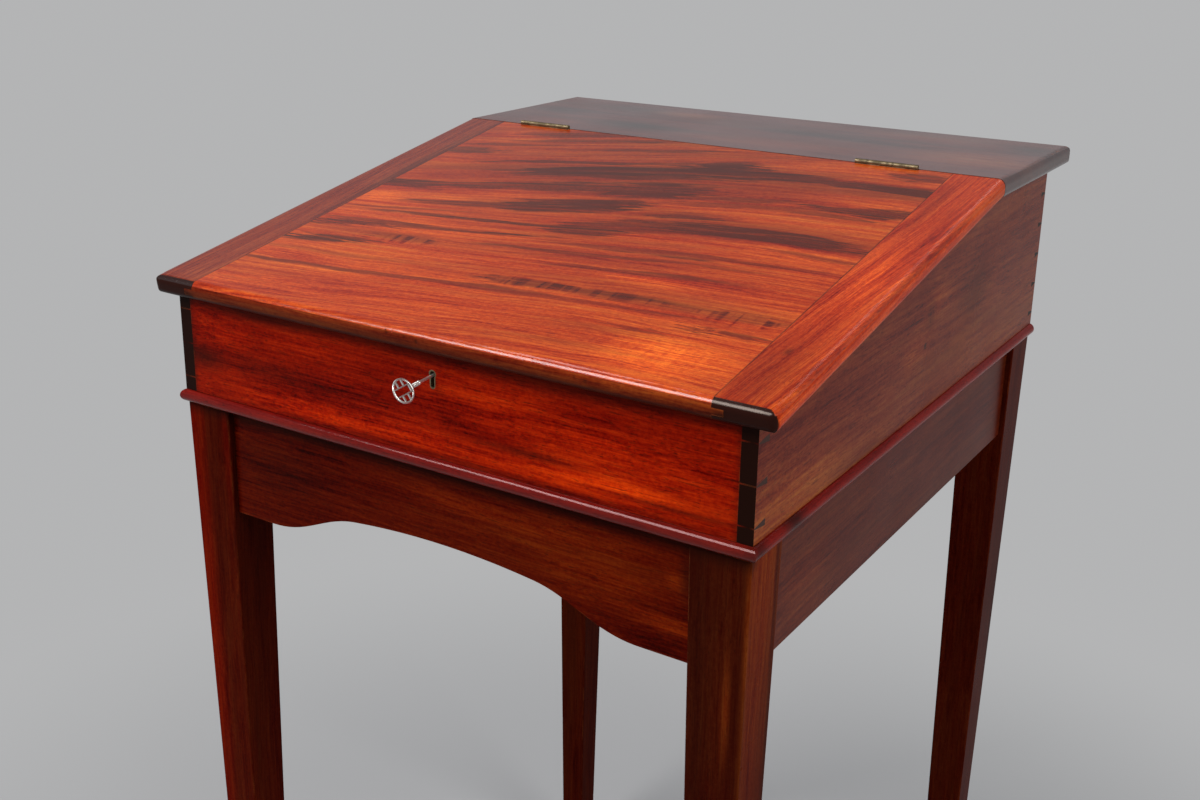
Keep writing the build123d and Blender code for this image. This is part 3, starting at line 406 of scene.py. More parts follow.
def polished_wood(name, grain, ground, ribbon=None, origin=(0.0, 0.0, 0.0), sweep=None, streaks=(),
                  ripples=(), boldness=0.5, contrast=1.0, shift=0.0, end_dark=1.0, end_from=0.40,
                  end_tone=None, gloss=0.22, level=0.5, tint=(1.0, 1.0, 1.0), glow=(), shade=(),
                  dull=(), hue=(1.9, 2.5, 1.6), unpolished=None, worn=0.5, dirt_and_shade=0.55):
    """Polished mahogany whose grain is turned onto X by grain.

    glow and shade are rows of soft lighter and darker patches, some the wood's own tone and some
    painted light and painted shade; dull rows roughen the polish, and hue multiplies the colour in
    a glow. Wood inside the box unpolished is bare; worn rubs the arrises, and the corners darken
    with old polish, dust and painted shade.
    """
    wood = bpy.context.scene.desk_wood
    material, w, shader = shader_of(name)
    spot = w.add("ShaderNodeTexCoord").outputs
    turn = {"Vector": spot["Object"], "Rotation": grain, "Location": origin}
    place = w.add("ShaderNodeMapping", turn, vector_type="POINT").outputs[0]
    facing = w.add(
        "ShaderNodeMapping", {"Vector": spot["Normal"], "Rotation": grain}, vector_type="NORMAL"
    ).outputs[0]
    if sweep:
        place = sweep(w, place)
    figure = w.group("Mahogany figure", figure_group, {
        "Place": place,
        "Ground": full(ground),
        "Ribbon": full(ribbon or wood.dark_figure),
        "Boldness": boldness,
        "Contrast": contrast,
        "Placed": placed_streaks(w, place, streaks) if streaks else 0.0,
        "Rippled": placed_streaks(w, place, ripples) if ripples else 0.0,
        "Shift": shift,
    })
    tone = figure["Colour"]
    # Lighter patches: the wood's own tone, and painted light or highlight where a row says so
    for row in glow:
        lighter = w.blend(1.0, tone, full(hue), "MULTIPLY")
        tone = w.blend(w.patch(spot["Object"], row), tone, lighter)
    # Darker patches: the wood's own dark places, and painted shade and shadow where a row says so
    for row in shade:
        tone = w.blend(w.patch(spot["Object"], row), tone, full(wood.end_grain_and_shade))
    end_face = w.step(w.calc("ABSOLUTE", w.split(facing)[0]), end_from, end_from + 0.25)
    tone = w.blend(w.calc("MULTIPLY", end_face, end_dark), tone, full(end_tone or wood.end_grain_and_shade))
    edge = w.group("Edge wear", edge_group, {"Reach": WORN_WIDTH})[0]
    rubbed = w.step(w.cloud(spot["Object"], (55.0, 55.0, 55.0), detail=3.0, shift=shift), 0.44, 0.62)
    bare = w.calc("MULTIPLY", w.calc("MULTIPLY", edge, rubbed), worn)
    bare = w.calc("MULTIPLY", bare, w.calc("SUBTRACT", 1.0, end_face))
    tone = w.blend(bare, tone, full(wood.bare_edge))
    # Dust and painted shade: corners and hollows darkened by ambient occlusion
    grime_and_shade = w.group("Grime", grime_and_shade_group, {"Reach": GRIME_AND_SHADE_WIDTH})[0]
    tone = w.blend(w.calc("MULTIPLY", grime_and_shade, dirt_and_shade), tone, full(wood.end_grain_and_shade))
    patchy = w.cloud(spot["Object"], (9.0, 9.0, 9.0), detail=3.0, shift=shift + 2.0)
    rough = w.calc("ADD", w.between(patchy, gloss - 0.08, gloss + 0.08), w.calc("MULTIPLY", bare, 0.25))
    for row in dull:
        rough = w.calc("ADD", w.patch(spot["Object"], row), rough)
    if unpolished:
        limits = {"Place": spot["Object"], "Low": unpolished[0], "High": unpolished[1]}
        inner = w.group("Unpolished inside", inside_group, limits)[0]
        raw = w.blend(0.45, tone, full(wood.bare_edge))
        tone = w.blend(inner, tone, raw)
        rough = w.calc("MAXIMUM", rough, w.calc("MULTIPLY", inner, 0.62))
    uneven = w.cloud(spot["Object"], (14.0, 14.0, 14.0), detail=2.0, shift=shift)
    height = w.calc("MULTIPLY_ADD", figure["Pores"], -0.02, w.calc("MULTIPLY", uneven, 0.35))
    w.fill(shader, {
        "Base Color": tone,
        "Roughness": rough,
        "Normal": w.bump(0.35, 1.5 * MM, height),
        "IOR": 1.5,
        "Specular IOR Level": level,
        "Specular Tint": full(tint),
    })
    return material


def deal_wood():
    """Sawn pine with soft yellow rings, for the bottom and the blocks."""
    material, w, shader = shader_of("Sawn deal")
    spot = w.add("ShaderNodeTexCoord").outputs["Object"]
    rings = w.cloud(spot, (3.0, 90.0, 60.0), detail=3.0)
    fibres = w.cloud(spot, (20.0, 900.0, 700.0), detail=1.0)
    pale = bpy.context.scene.desk_wood.deal
    dark = tuple(c * s for c, s in zip(pale, (0.55, 0.42, 0.30)))
    tone = w.blend(w.step(rings, 0.46, 0.62), full(pale), full(dark))
    w.fill(shader, {
        "Base Color": w.blend(w.between(fibres, 0.0, 0.35), tone, full(dark)),
        "Roughness": 0.72,
        "Normal": w.bump(0.4, 0.6 * MM, fibres),
    })
    return material


def worn_metal(name, tone, tarnish, rough, metallic=1.0):
    """Metal that is bright where rubbed and dark in between."""
    material, w, shader = shader_of(name)
    spot = w.add("ShaderNodeTexCoord").outputs["Object"]
    film = w.step(w.cloud(spot, (160.0, 160.0, 160.0), detail=4.0), 0.40, 0.62)
    edge = w.group("Edge wear", edge_group, {"Reach": 0.5 * MM})[0]
    dull = w.calc("MULTIPLY", film, w.between(edge, tarnish, 0.0))
    dark = tuple(c * 0.28 for c in tone)
    scratches = w.cloud(spot, (900.0, 300.0, 900.0), detail=2.0)
    w.fill(shader, {
        "Base Color": w.blend(dull, full(tone), full(dark)),
        "Roughness": w.between(dull, rough, rough + 0.28),
        "Metallic": metallic,
        "Normal": w.bump(0.12, 0.2 * MM, scratches),
    })
    return material


# ---- Shaping of pieces ----
def merged_board(node):
    """A board's mesh from the frame, with its corners merged and its flat faces whole."""
    work = bmesh.new()
    work.from_mesh(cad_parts[node].data)
    bmesh.ops.remove_doubles(work, verts=work.verts, dist=0.01 * MM)
    bmesh.ops.dissolve_limit(
        work, angle_limit=math.radians(0.5), verts=work.verts, edges=work.edges
    )
    return work


def soften(work, radius, shortest=8 * MM):
    """Rounds the long sharp arrises over."""
    sharp = [
        e for e in work.edges
        if e.is_manifold and e.is_convex and e.calc_length() > shortest
        and e.calc_face_angle(0.0) > math.radians(40)
    ]
    bmesh.ops.bevel(
        work, geom=sharp, offset=radius, offset_type="OFFSET", segments=3, profile=0.5,
        affect="EDGES", material=-1, clamp_overlap=True,
    )


def slice_across(work, axis, places, wanted):
    """Cuts the wanted faces at each of these places along an axis, for detail there."""
    normal = Vector((0, 0, 0))
    normal[axis] = 1.0
    for place in places:
        faces = [f for f in work.faces if wanted(f)]
        geometry = dict.fromkeys(part for f in faces for part in (f, *f.edges, *f.verts))
        bmesh.ops.bisect_plane(
            work, geom=list(geometry), plane_co=normal * place, plane_no=normal, dist=0.001 * MM
        )


def waver(work, reach, wave, wanted, shift=0.0):
    """Moves the wanted points by smooth noise, as years of hands and cloths do."""
    work.normal_update()
    for v in work.verts:
        if wanted(v):
            amount = noise.noise(v.co * wave + Vector((shift, shift, shift)))
            v.co -= v.normal * reach * (0.5 + amount)


def knock(work, centre, radius, depth):
    """Presses a shallow dent with a ragged rim into the surface."""
    work.normal_update()
    moves = []
    for v in work.verts:
        away = (v.co - centre).length * (1.0 + 0.5 * noise.noise(v.co * 600.0))
        if away < radius:
            moves.append((v, v.normal * depth * (1.0 - (away / radius) ** 2)))
    for v, move in moves:
        v.co -= move


def finish_piece(work, name, material, body, slot, *nodes):
    """Turns a worked mesh into a shaded piece that rides on its body."""
    work.normal_update()
    mesh = bpy.data.meshes.new(name)
    work.to_mesh(mesh)
    work.free()
    mesh.materials.append(material)
    # The frame's stored normals no longer fit the worked faces
    if "custom_normal" in mesh.attributes:
        mesh.attributes.remove(mesh.attributes["custom_normal"])
    mesh.shade_smooth()
    mesh.set_sharp_from_angle(angle=math.radians(38))
    piece = bpy.data.objects.new(name, mesh)
    bpy.context.scene.collection.objects.link(piece)
    even = piece.modifiers.new("Even shading", "WEIGHTED_NORMAL")
    even.keep_sharp = True
    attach(piece, body)
    if nodes:
        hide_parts(*nodes)
    return piece


def recoat(node, material):
    """Gives a node of the frame its finish."""
    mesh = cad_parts[node].data
    mesh.materials.clear()
    mesh.materials.append(material)


def spread(start, stop, step):
    count = max(1, round((stop - start) / step))
    return [start + (stop - start) * i / count for i in range(count + 1)]


def frame_point(x, back, up):
    """Place in millimetres from the middle, the box's front face and its underside."""
    return Vector((x * MM, FRONT_Y + back * MM, STAND_TOP + up * MM))


# ---- Pieces ----
class DESK_OT_lid(bpy.types.Operator):
    """Lid: a ribboned centre panel between two cleats, with knocks along its front edge"""

    bl_idname = "desk.lid"
    bl_label = "Lid"

    # (x, up, radius, share of the deepest knock), in millimetres
    KNOCKS = (
        (-36, 109, 2.6, 0.8), (-30, 111, 1.5, 0.6), (-17, 108, 2.4, 0.8), (-4, 107, 3.0, 1.0),
        (4, 108, 2.0, 0.8), (9, 106, 1.4, 0.7), (153, 107, 2.6, 0.8), (163, 106, 3.0, 1.0),
        (176, 108, 1.8, 0.6), (-120, 108, 1.4, 0.4), (96, 105, 1.6, 0.5), (214, 109, 1.6, 0.5),
    )
    # Dark streaks of the centre panel in millimetres, as placed_streaks takes them
    STREAKS = (
        (-245, 382, 52, 16, 0.0, 0.9), (-150, 386, 80, 11, 0.0, 0.8),
        (-80, 388, 62, 16, 0.0, 0.9), (15, 382, 62, 25, 0.0, 0.95),
        (-110, 321, 115, 11, 0.0, 0.85), (-48, 330, 76, 25, 0.10, 1.0),
        (2, 338, 30, 16, 0.0, 0.9), (-20, 432, 155, 21, 0.0, 0.95), (100, 435, 95, 15, 0.0, 0.85),
        (215, 429, 90, 11, 0.0, 0.85), (-95, 463, 112, 6.6, 0.0, 0.85),
        (45, 460, 44, 15, 0.0, 0.9), (165, 284, 128, 16, -0.02, 1.0),
        (60, 281, 82, 15, 0.0, 0.85), (12, 266, 46, 19, 0.05, 0.85), (76, 314, 46, 12, 0.0, 0.7),
        (228, 365, 62, 11, 0.12, 0.9), (200, 346, 48, 6.6, 0.0, 0.7),
        (110, 367, 62, 6.6, 0.03, 0.65), (110, 349, 76, 6.6, 0.06, 0.6),
        (255, 470, 42, 11, 0.0, 0.85), (-250, 497, 42, 12, 0.0, 0.7),
        (-120, 537, 95, 6.6, 0.0, 0.6), (-150, 560, 75, 9, 0.0, 0.65),
        (-215, 520, 60, 5.5, 0.0, 0.55), (-45, 505, 75, 9, 0.0, 0.6),
        (-150, 234, 140, 5.5, 0.0, 0.8), (-225, 222, 62, 10, 0.22, 0.85),
        (-222, 166, 56, 11, 0.14, 0.85), (-150, 194, 42, 12, 0.0, 0.4),
        (-100, 271, 150, 5.0, -0.02, 0.65), (-190, 291, 90, 4.4, 0.05, 0.5),
        (235, 252, 55, 5.5, 0.0, 0.6), (130, 222, 160, 5.0, 0.0, 0.55),
        (60, 202, 160, 4.4, 0.02, 0.45), (110, 172, 100, 5.5, 0.04, 0.6),
        (-60, 102, 280, 5.0, 0.0, 0.65), (25, 121, 52, 9, 0.02, 0.5),
        (165, 119, 130, 9, 0.0, 0.45), (245, 118, 32, 10, 0.0, 0.55),
        (160, 72, 22, 4.4, 0.0, 0.7), (207, 86, 10, 9, 0.0, 0.7), (245, 89, 22, 5.5, 0.0, 0.7),
        (20, 405, 180, 46, 0.0, 0.28), (-170, 425, 110, 32, 0.0, 0.22),
        (185, 425, 110, 24, 0.0, 0.2), (-60, 318, 120, 34, 0.05, 0.22),
        (150, 288, 140, 26, 0.0, 0.25), (-215, 190, 60, 26, 0.1, 0.2),
    )
    # Patches of cross ripple, in the same terms
    RIPPLES = (
        (-148, 187, 32, 13, 0.0, 1.0), (25, 122, 30, 12, 0.0, 0.9), (95, 120, 75, 8, 0.0, 0.6),
        (228, 114, 42, 13, 0.0, 1.0), (200, 40, 60, 22, 0.0, 0.3), (207, 86, 12, 9, 0.0, 0.7),
    )
    # The lid's underside over the box front's face, from which the grain's places are measured
    UNDERSIDE = 97.3 * MM
    # How far from the cleats' outer corners the wood is worn round
    CORNER = 12 * MM
    # Faces of the nose that look lower than this, as a sine, get the nose's duller finish; on the
    # centre panel it is a darker copy, painted shade on the down-turned faces with some soiling
    NOSE_TURN = 0.42

    def slice_nose(self, work, low, high):
        """Cuts the panel's nose finely enough for its knocks."""
        cuts = spread(low.x + 3 * MM, high.x - 3 * MM, 5 * MM)
        cuts += [
            (x + i * radius / 4) * MM
            for x, _, radius, _ in self.KNOCKS
            for i in range(-4, 5)
            if low.x < x * MM < high.x
        ]
        slice_across(
            work, 0, sorted(cuts), lambda face: face.calc_center_median().y < FRONT_Y - 3 * MM
        )

    def round_corner(self, work, low):
        """Wears the mitred edges at the cleat's outer front corner into one smooth round."""
        outer = max(abs(v.co.x) for v in work.verts)
        side = math.copysign(1.0, sum(v.co.x for v in work.verts))
        steps = [self.CORNER * i / 8 for i in range(1, 9)]
        slice_across(work, 0, [side * (outer - step) for step in steps], lambda f: True)
        slice_across(work, 1, [low.y + step for step in steps], lambda f: True)
        corner = [
            v for v in work.verts
            if outer - side * v.co.x < self.CORNER * 0.95 and v.co.y - low.y < self.CORNER * 0.95
        ]
        for _ in range(6):
            bmesh.ops.smooth_vert(
                work, verts=corner, factor=0.5, use_axis_x=True, use_axis_y=True, use_axis_z=True
            )

    def finishes(self, wood):
        """Node, finish, finish of the low faces and slot of each wooden piece."""
        height = STAND_TOP + self.UNDERSIDE
        rise = FRONT_Y * math.cos(SLOPE) + height * math.sin(SLOPE)
        # Painted shade in the dents of the knocks, on the nose and the panel
        dents = [
            (x, -12, up, *(1.1 * radius for _ in range(3)), 0.9 * depth)
            for x, up, radius, depth in self.KNOCKS
        ]
        joints = [(side * 272, 235, 150, 1.1, 900, 900, 0.75) for side in (-1, 1)]
        tongues = [(side * 281, -13, 101, 16, 10, 10, 0.9) for side in (-1, 1)]
        # Painted shade on the lower part of the nose
        underside = [(0, -13, 94, 4000, 18, 18, 0.9)]
        rear = [(-60, 430, 190, 420, 240, 200, 0.36)]
        # The nose's darker copy of the lid's finish: painted shade, with some soiling
        shaded_nose_finish = polished_wood(
            "Lid nose mahogany", ALONG_LID, wood.shaded_nose_ground, ribbon=wood.lid_ribbon, boldness=0.5,
            contrast=1.5, shift=3.1, end_dark=0.0, gloss=0.30, level=0.06, tint=(1.0, 0.6, 0.5),
            worn=0.5, shade=dents + tongues + underside, glow=[(200, -13, 106, 160, 10, 10, 0.5)],
        )
        panel_finish = polished_wood(
            "Lid mahogany", ALONG_LID, wood.lid_ground, ribbon=wood.lid_ribbon,
            origin=(0.0, -rise, 0.0), sweep=swept_lid, streaks=self.STREAKS, ripples=self.RIPPLES,
            boldness=0.38, contrast=1.45, shift=3.1, end_dark=0.2, gloss=0.17, level=0.38, worn=0.35,
            shade=dents + joints + tongues + rear,
            glow=[(205, 28, 122, 85, 50, 50, 0.75), (120, 150, 143, 70, 22, 50, 0.55),
                  (-250, 235, 158, 34, 34, 50, 0.22), (-215, 440, 194, 60, 40, 50, 0.35),
                  (262, -10, 110, 12, 10, 4, 0.5), (234, -10, 110, 10, 10, 4, 0.4)],
        )
        cleat = {"ribbon": wood.lid_ribbon, "end_from": 0.12, "end_tone": wood.cleat_end}
        left_finish = polished_wood(
            "Left cleat mahogany", UP_LID, wood.left_cleat, boldness=0.15, contrast=1.6, shift=5.7,
            gloss=0.20, worn=0.3, shade=[*joints, (-277, 320, 170, 14, 260, 100, 0.45)], **cleat,
        )
        right_finish = polished_wood(
            "Right cleat mahogany", UP_LID_ASKEW, wood.right_cleat, boldness=0.15, contrast=1.5,
            shift=9.4, gloss=0.22, level=0.32, tint=(1.0, 0.85, 0.75), worn=0.1, **cleat,
            # Second shade row: painted shade on the cleat's rounded outer edge
            shade=[*joints, (297, 30, 120, 50, 140, 60, 0.35), (325, 300, 158, 7, 300, 160, 0.5),
                   (283, 400, 185, 12, 120, 50, 0.25), (290, 75, 130, 6, 10, 50, 0.5)],
            # Second glow row: the outer nose, partly rubbed polish and partly painted highlight
            glow=[(298, 225, 155, 34, 110, 80, 0.45), (322, 300, 158, 10, 260, 160, 0.2)],
            dull=[(326, 280, 155, 20, 400, 200, 0.30)],
        )
        end_finish = polished_wood(
            "Cleat end mahogany", UP_LID, wood.right_cleat, boldness=0.3, contrast=1.5, shift=9.4,
            gloss=0.30, level=0.06, tint=(1.0, 0.6, 0.5), worn=0.2, **cleat,
        )
        return (
            ("lid_panel", panel_finish, shaded_nose_finish, "mahogany_lid"),
            ("lid_cleat_left", left_finish, end_finish, "mahogany_cleats"),
            ("lid_cleat_right", right_finish, end_finish, "mahogany_cleats"),
        )

    def execute(self, context):
        wear = context.scene.desk_wear
        for node, finish, nose, slot in self.finishes(context.scene.desk_wood):
            low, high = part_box(node)
            work = merged_board(node)
            if node == "lid_panel":
                self.slice_nose(work, low, high)
            else:
                self.round_corner(work, low)
            waver(work, wear.waver, 60.0, lambda v: v.co.y < FRONT_Y - 4 * MM, shift=low.x)
            for x, up, radius, depth in self.KNOCKS:
                knock(work, frame_point(x, -12, up), radius * MM, wear.pit_depth * depth)
            piece = finish_piece(work, f"{node}_polished", finish, "lid", slot, node)
            piece.data.materials.append(nose)
            for face in piece.data.polygons:
                on_front = face.center.y < FRONT_Y - 4 * MM and face.normal.y < -0.4
                on_end = node != "lid_panel" and abs(face.normal.x) > 0.4
                face.material_index = int((on_front or on_end) and face.normal.z < self.NOSE_TURN)
        return {"FINISHED"}


class DESK_OT_fixed_top(bpy.types.Operator):
    """Fixed top: a dark board behind the lid, rounded at its ends and rear edge"""

    bl_idname = "desk.fixed_top"
    bl_label = "Fixed top"

    # Redder and darker patches: (x, back, half length, half width, strength)
    RUDDY = (
        (260, 560, 100, 60, 1.0), (60, 530, 140, 45, 0.6), (-120, 655, 70, 30, 0.9),
        (170, 665, 120, 35, 0.6), (-230, 520, 60, 30, 0.5), (20, 680, 100, 30, 0.4),
    )
    DULL = (
        (-130, 545, 100, 50, 0.8), (60, 612, 130, 30, 0.7), (-200, 660, 80, 40, 0.5),
        (300, 655, 50, 40, 0.7), (-270, 600, 70, 50, 0.6), (160, 600, 100, 25, 0.5),
    )

    def execute(self, context):
        wood, wear = context.scene.desk_wood, context.scene.desk_wear
        ruddy, dull = (
            [(x, back, 202, half_long, half_wide, 50, strength)
             for x, back, half_long, half_wide, strength in rows]
            for rows in (self.RUDDY, self.DULL)
        )
        finish = polished_wood(
            "Fixed top mahogany", GRAIN_X, wood.top_ground, boldness=0.5, contrast=1.8, shift=12.3,
            end_dark=0.6, end_from=0.3, gloss=0.20, level=0.43, worn=0.4, glow=ruddy, shade=dull,
        )
        work = merged_board("fixed_top")
        soften(work, wear.arris * 0.5)
        finish_piece(work, "fixed_top_polished", finish, "desk", "mahogany_top", "fixed_top")
        return {"FINISHED"}


class DESK_OT_box(bpy.types.Operator):
    """Box: front, sides and back, dovetailed, bare inside"""

    bl_idname = "desk.box"
    bl_label = "Box"

    # Brighter and darker patches of the front: (x, up, half length, half height, strength); the last
    # two darker rows are painted shadow, a thin line just above the bead and a band under the lid's
    # edge
    BRIGHT = (
        (200, 35, 160, 45, 0.8), (60, 58, 110, 35, 0.55), (-240, 66, 50, 18, 0.6),
        (-150, 72, 90, 16, 0.3), (-150, 12, 120, 18, 1.0), (165, 52, 60, 10, 0.5),
        (185, 18, 100, 9, 0.5), (-40, 22, 120, 22, 0.45), (60, 12, 260, 16, 0.8),
    )
    DARK_AND_SHADOW = (
        (-278, 38, 45, 20, 0.75), (-190, 40, 110, 18, 0.35), (-90, 34, 100, 14, 0.10),
        (100, 26, 80, 6, 0.5), (240, 12, 120, 4, 0.5), (-190, 90, 100, 12, 0.5),
        # Last two rows: painted shadow above the bead and under the lid's edge
        (120, 88, 200, 12, 0.35), (60, 3, 400, 4, 0.35), (0, 101, 3000, 18, 0.85),
    )

    def execute(self, context):
        wood, wear = context.scene.desk_wood, context.scene.desk_wear
        bright, dark = (
            [(x, 0, up, half_long, 50, half_high, strength)
             for x, up, half_long, half_high, strength in rows]
            for rows in (self.BRIGHT, self.DARK_AND_SHADOW)
        )
        pins = [(side * 300, 0, 50, 17, 20, 500, 1.0) for side in (-1, 1)]
        feet = [(side * 298, 2, 5, 11, 20, 10, 0.5) for side in (-1, 1)]
        front = polished_wood(
            "Box front mahogany", GRAIN_X, wood.front_ground, boldness=0.12, contrast=1.7, shift=15.0,
            end_tone=wood.pin_end, gloss=0.15, level=0.05, tint=(1.0, 0.4, 0.3),
            unpolished=UNPOLISHED_BOX, worn=0.2, dirt_and_shade=0.15, glow=bright, shade=dark + pins,
        )
        sides = polished_wood(
            "Box side mahogany", BOX_SIDE, wood.side_ground, boldness=0.2, contrast=1.35, shift=21.0,
            end_from=0.25, gloss=0.26, level=0.05, tint=(1.0, 0.6, 0.5), unpolished=UNPOLISHED_BOX,
            worn=0.4,
            glow=[(305, 60, 10, 60, 160, 50, 0.75), (305, 320, 70, 60, 50, 30, 0.45),
                  (305, 375, 105, 60, 60, 30, 0.45), *feet],
            shade=[(305, 345, 66, 20, 6, 5, 0.8), (305, 355, 95, 20, 16, 22, 0.35),
                   (305, 180, 120, 50, 100, 25, 0.4), (305, 480, 90, 50, 70, 50, 0.35)],
        )
        back = polished_wood(
            "Box back mahogany", GRAIN_X, wood.side_ground, boldness=0.2, contrast=1.35, shift=27.0,
            gloss=0.30, level=0.04, tint=(1.0, 0.6, 0.5), unpolished=UNPOLISHED_BOX, worn=0.4,
        )
        boards = (
            ("box_front", front, "mahogany_front"),
            ("box_left", sides, "mahogany_sides"),
            ("box_right", sides, "mahogany_sides"),
            ("box_back", back, "mahogany_sides"),
        )
        for node, finish, slot in boards:
            work = merged_board(node)
            soften(work, wear.arris * 0.35, shortest=40 * MM)
            finish_piece(work, f"{node}_polished", finish, "desk", slot, node)
        return {"FINISHED"}


class DESK_OT_bead(bpy.types.Operator):
    """Bead: glossy crimson strips round the top of the stand, rubbed along their noses"""

    bl_idname = "desk.bead"
    bl_label = "Bead"

    # A strip's node, the axis along it, its grain, and its roughness and specular level
    STRIPS = (
        ("bead_front", 0, GRAIN_X, 0.12, 0.26),
        ("bead_left", 1, GRAIN_Y, 0.22, 0.06),
        ("bead_right", 1, GRAIN_Y, 0.22, 0.06),
    )

    def stands_out(self, v):
        """True for points outside the box's faces, where hands and cloths reach."""
        return abs(v.co.x) >= SIDE_X - 1 * MM or v.co.y <= FRONT_Y + 1 * MM

    def execute(self, context):
        wood, wear = context.scene.desk_wood, context.scene.desk_wear
        for node, axis, grain, gloss, level in self.STRIPS:
            low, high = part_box(node)
            finish = polished_wood(
                f"{node} mahogany".replace("_", " "), grain, wood.bead_ground, boldness=0.35,
                shift=30.0 + axis, end_dark=0.3, gloss=gloss, level=level, tint=(1.0, 0.7, 0.7),
                worn=0.12, shade=[(310, 66, -4, 30, 30, 30, 0.8), (310, 4, -6, 20, 20, 20, 0.7)],
            )
            work = merged_board(node)
            cuts = spread(low[axis] + 6 * MM, high[axis] - 6 * MM, 9 * MM)
            slice_across(work, axis, cuts, lambda face: True)
            waver(work, wear.waver * 0.8, 45.0, self.stands_out, shift=4.0)
            finish_piece(work, f"{node}_polished", finish, "desk", "mahogany_bead", node)
        return {"FINISHED"}


class DESK_OT_stand(bpy.types.Operator):
    """Stand: four tapered legs and four aprons, the front one shaped"""

    bl_idname = "desk.stand"
    bl_label = "Stand"

    # A leg's corner, ground, shift of its figure, lighter patches with their hue, darker patches
    LEGS = (
        ("front_left", (0.074, 0.0060, 0.0014), 40.0,
         # Second lighter patch: a pale line on the right arris, partly wear and partly painted
         # highlight
         ((-298, 0, -300, 22, 20, 1500, 1.0), (-256, 0, -60, 8, 20, 100, 0.5)), (2.2, 0.9, 0.4),
         # Darker patch: painted shade on the leg's inner side
         ((-249, 30, -260, 10, 50, 800, 0.6),)),
        ("front_right", (0.047, 0.0048, 0.0015), 41.0,
         # First lighter patch, with its hue: painted light on the leg's right face
         ((309, 24, -200, 12, 90, 1200, 1.0), (287, -1, -150, 7, 20, 80, 0.4)), (4.6, 5.6, 2.6),
         ((306, 48, -200, 20, 7, 700, 0.6), (262, 0, -200, 14, 30, 700, 0.35))),
        ("rear_left", (0.045, 0.0042, 0.0010), 42.0, (), (1.0, 1.0, 1.0), ()),
        ("rear_right", (0.062, 0.0060, 0.0016), 43.0, (), (1.0, 1.0, 1.0), ()),
    )
    # Painted shadow on the legs' fronts, just under the bead
    PAINTED_BEAD_SHADOW = (0, 0, -13, 3000, 20, 16, 0.7)
    # Chip on the front left leg's outer arris: its place as frame_point takes it, reach and depth
    NICK = (-304.5, 0.8, -103)
    NICK_REACH = 4 * MM
    NICK_DEPTH = 2.2 * MM

    def nick(self, work):
        """Chips the leg's arris, with the faces round it cut finely first."""
        place = frame_point(*self.NICK)
        heights = [place.z + i * 1.5 * MM for i in range(-6, 7)]
        slice_across(
            work, 2, heights, lambda f: f.calc_area() > 1e-6 and f.calc_center_median().y < place.y
        )
        knock(work, place, self.NICK_REACH, self.NICK_DEPTH)

    def execute(self, context):
        wood, wear = context.scene.desk_wood, context.scene.desk_wear
        across = polished_wood(
            "Apron mahogany", GRAIN_X, wood.stand_ground, boldness=0.25, contrast=1.6, shift=44.0,
            gloss=0.25, level=0.03, tint=(1.0, 0.5, 0.4), unpolished=UNPOLISHED_STAND, worn=0.25,
            glow=[(40, 7, -42, 130, 50, 16, 0.6), (235, 7, -95, 50, 50, 6, 1.0),
                  (225, 7, -88, 70, 50, 5, 0.8), (236, 7, -52, 14, 50, 12, 0.7),
                  (165, 7, -60, 120, 50, 50, 0.55)],
            # First shade row: painted shadow under the bead
            shade=[(0, 7, -14, 3000, 30, 18, 0.85), (-190, 7, -60, 100, 30, 50, 0.25),
                   (247, 7, -45, 12, 30, 40, 0.5)],
        )
        sideways = polished_wood(
            "Side apron mahogany", SIDE_APRON, wood.side_apron, boldness=0.35, contrast=1.5,
            shift=48.0, gloss=0.30, level=0.048, tint=(1.0, 0.7, 0.6), unpolished=UNPOLISHED_STAND,
            worn=0.25, glow=[(297, 110, -85, 50, 100, 50, 0.6)],
        )
        for corner, ground, shift, glow, hue, shade in self.LEGS:
            finish = polished_wood(
                f"{corner} leg mahogany".replace("_", " "), GRAIN_Z, ground, boldness=0.45,
                shift=shift, contrast=1.3, gloss=0.28, level=0.008, tint=(1.0, 0.6, 0.5), worn=0.5,
                glow=glow, hue=hue, shade=(self.PAINTED_BEAD_SHADOW, *shade),
            )
            work = merged_board(f"leg_{corner}")
            if corner == "front_left":
                self.nick(work)
            finish_piece(
                work, f"leg_{corner}_polished", finish, "desk", "mahogany_stand", f"leg_{corner}"
            )
        for node, finish in (
            ("apron_front", across), ("apron_rear", across),
            ("apron_left", sideways), ("apron_right", sideways),
        ):
            work = merged_board(node)
            soften(work, wear.arris * 0.5, shortest=60 * MM)
            finish_piece(work, f"{node}_polished", finish, "desk", "mahogany_stand", node)
        return {"FINISHED"}


class DESK_OT_hardware(bpy.types.Operator):
    """Hardware: brass hinges, escutcheon and lock, iron screws, and the bare deal inside"""

    bl_idname = "desk.hardware"
    bl_label = "Hardware"

    BRASS = (
        *(f"hinge_{side}_{part}"
          for side in ("left", "right") for part in ("top_leaf", "lid_leaf", "pin")),
        "keyhole_escutcheon", "lock_plate", "lock_case", "lock_bolt", "link_plate",
    )
    IRON = (
        "stand_screws", "hinge_top_screws", "hinge_lid_screws", "lock_screws", "link_plate_screws",
        "drill_pin",
    )
    DEAL = ("box_bottom", "stand_glue_blocks", "top_glue_blocks")

    def execute(self, context):
        metal = context.scene.desk_metal
        finishes = (
            (self.BRASS, worn_metal("Old brass", metal.brass, 0.55, 0.50)),
            (self.IRON, worn_metal("Old iron", metal.iron, 0.7, 0.42)),
            (self.DEAL, deal_wood()),
        )
        for nodes, finish in finishes:
            for node in nodes:
                recoat(node, finish)
        return {"FINISHED"}


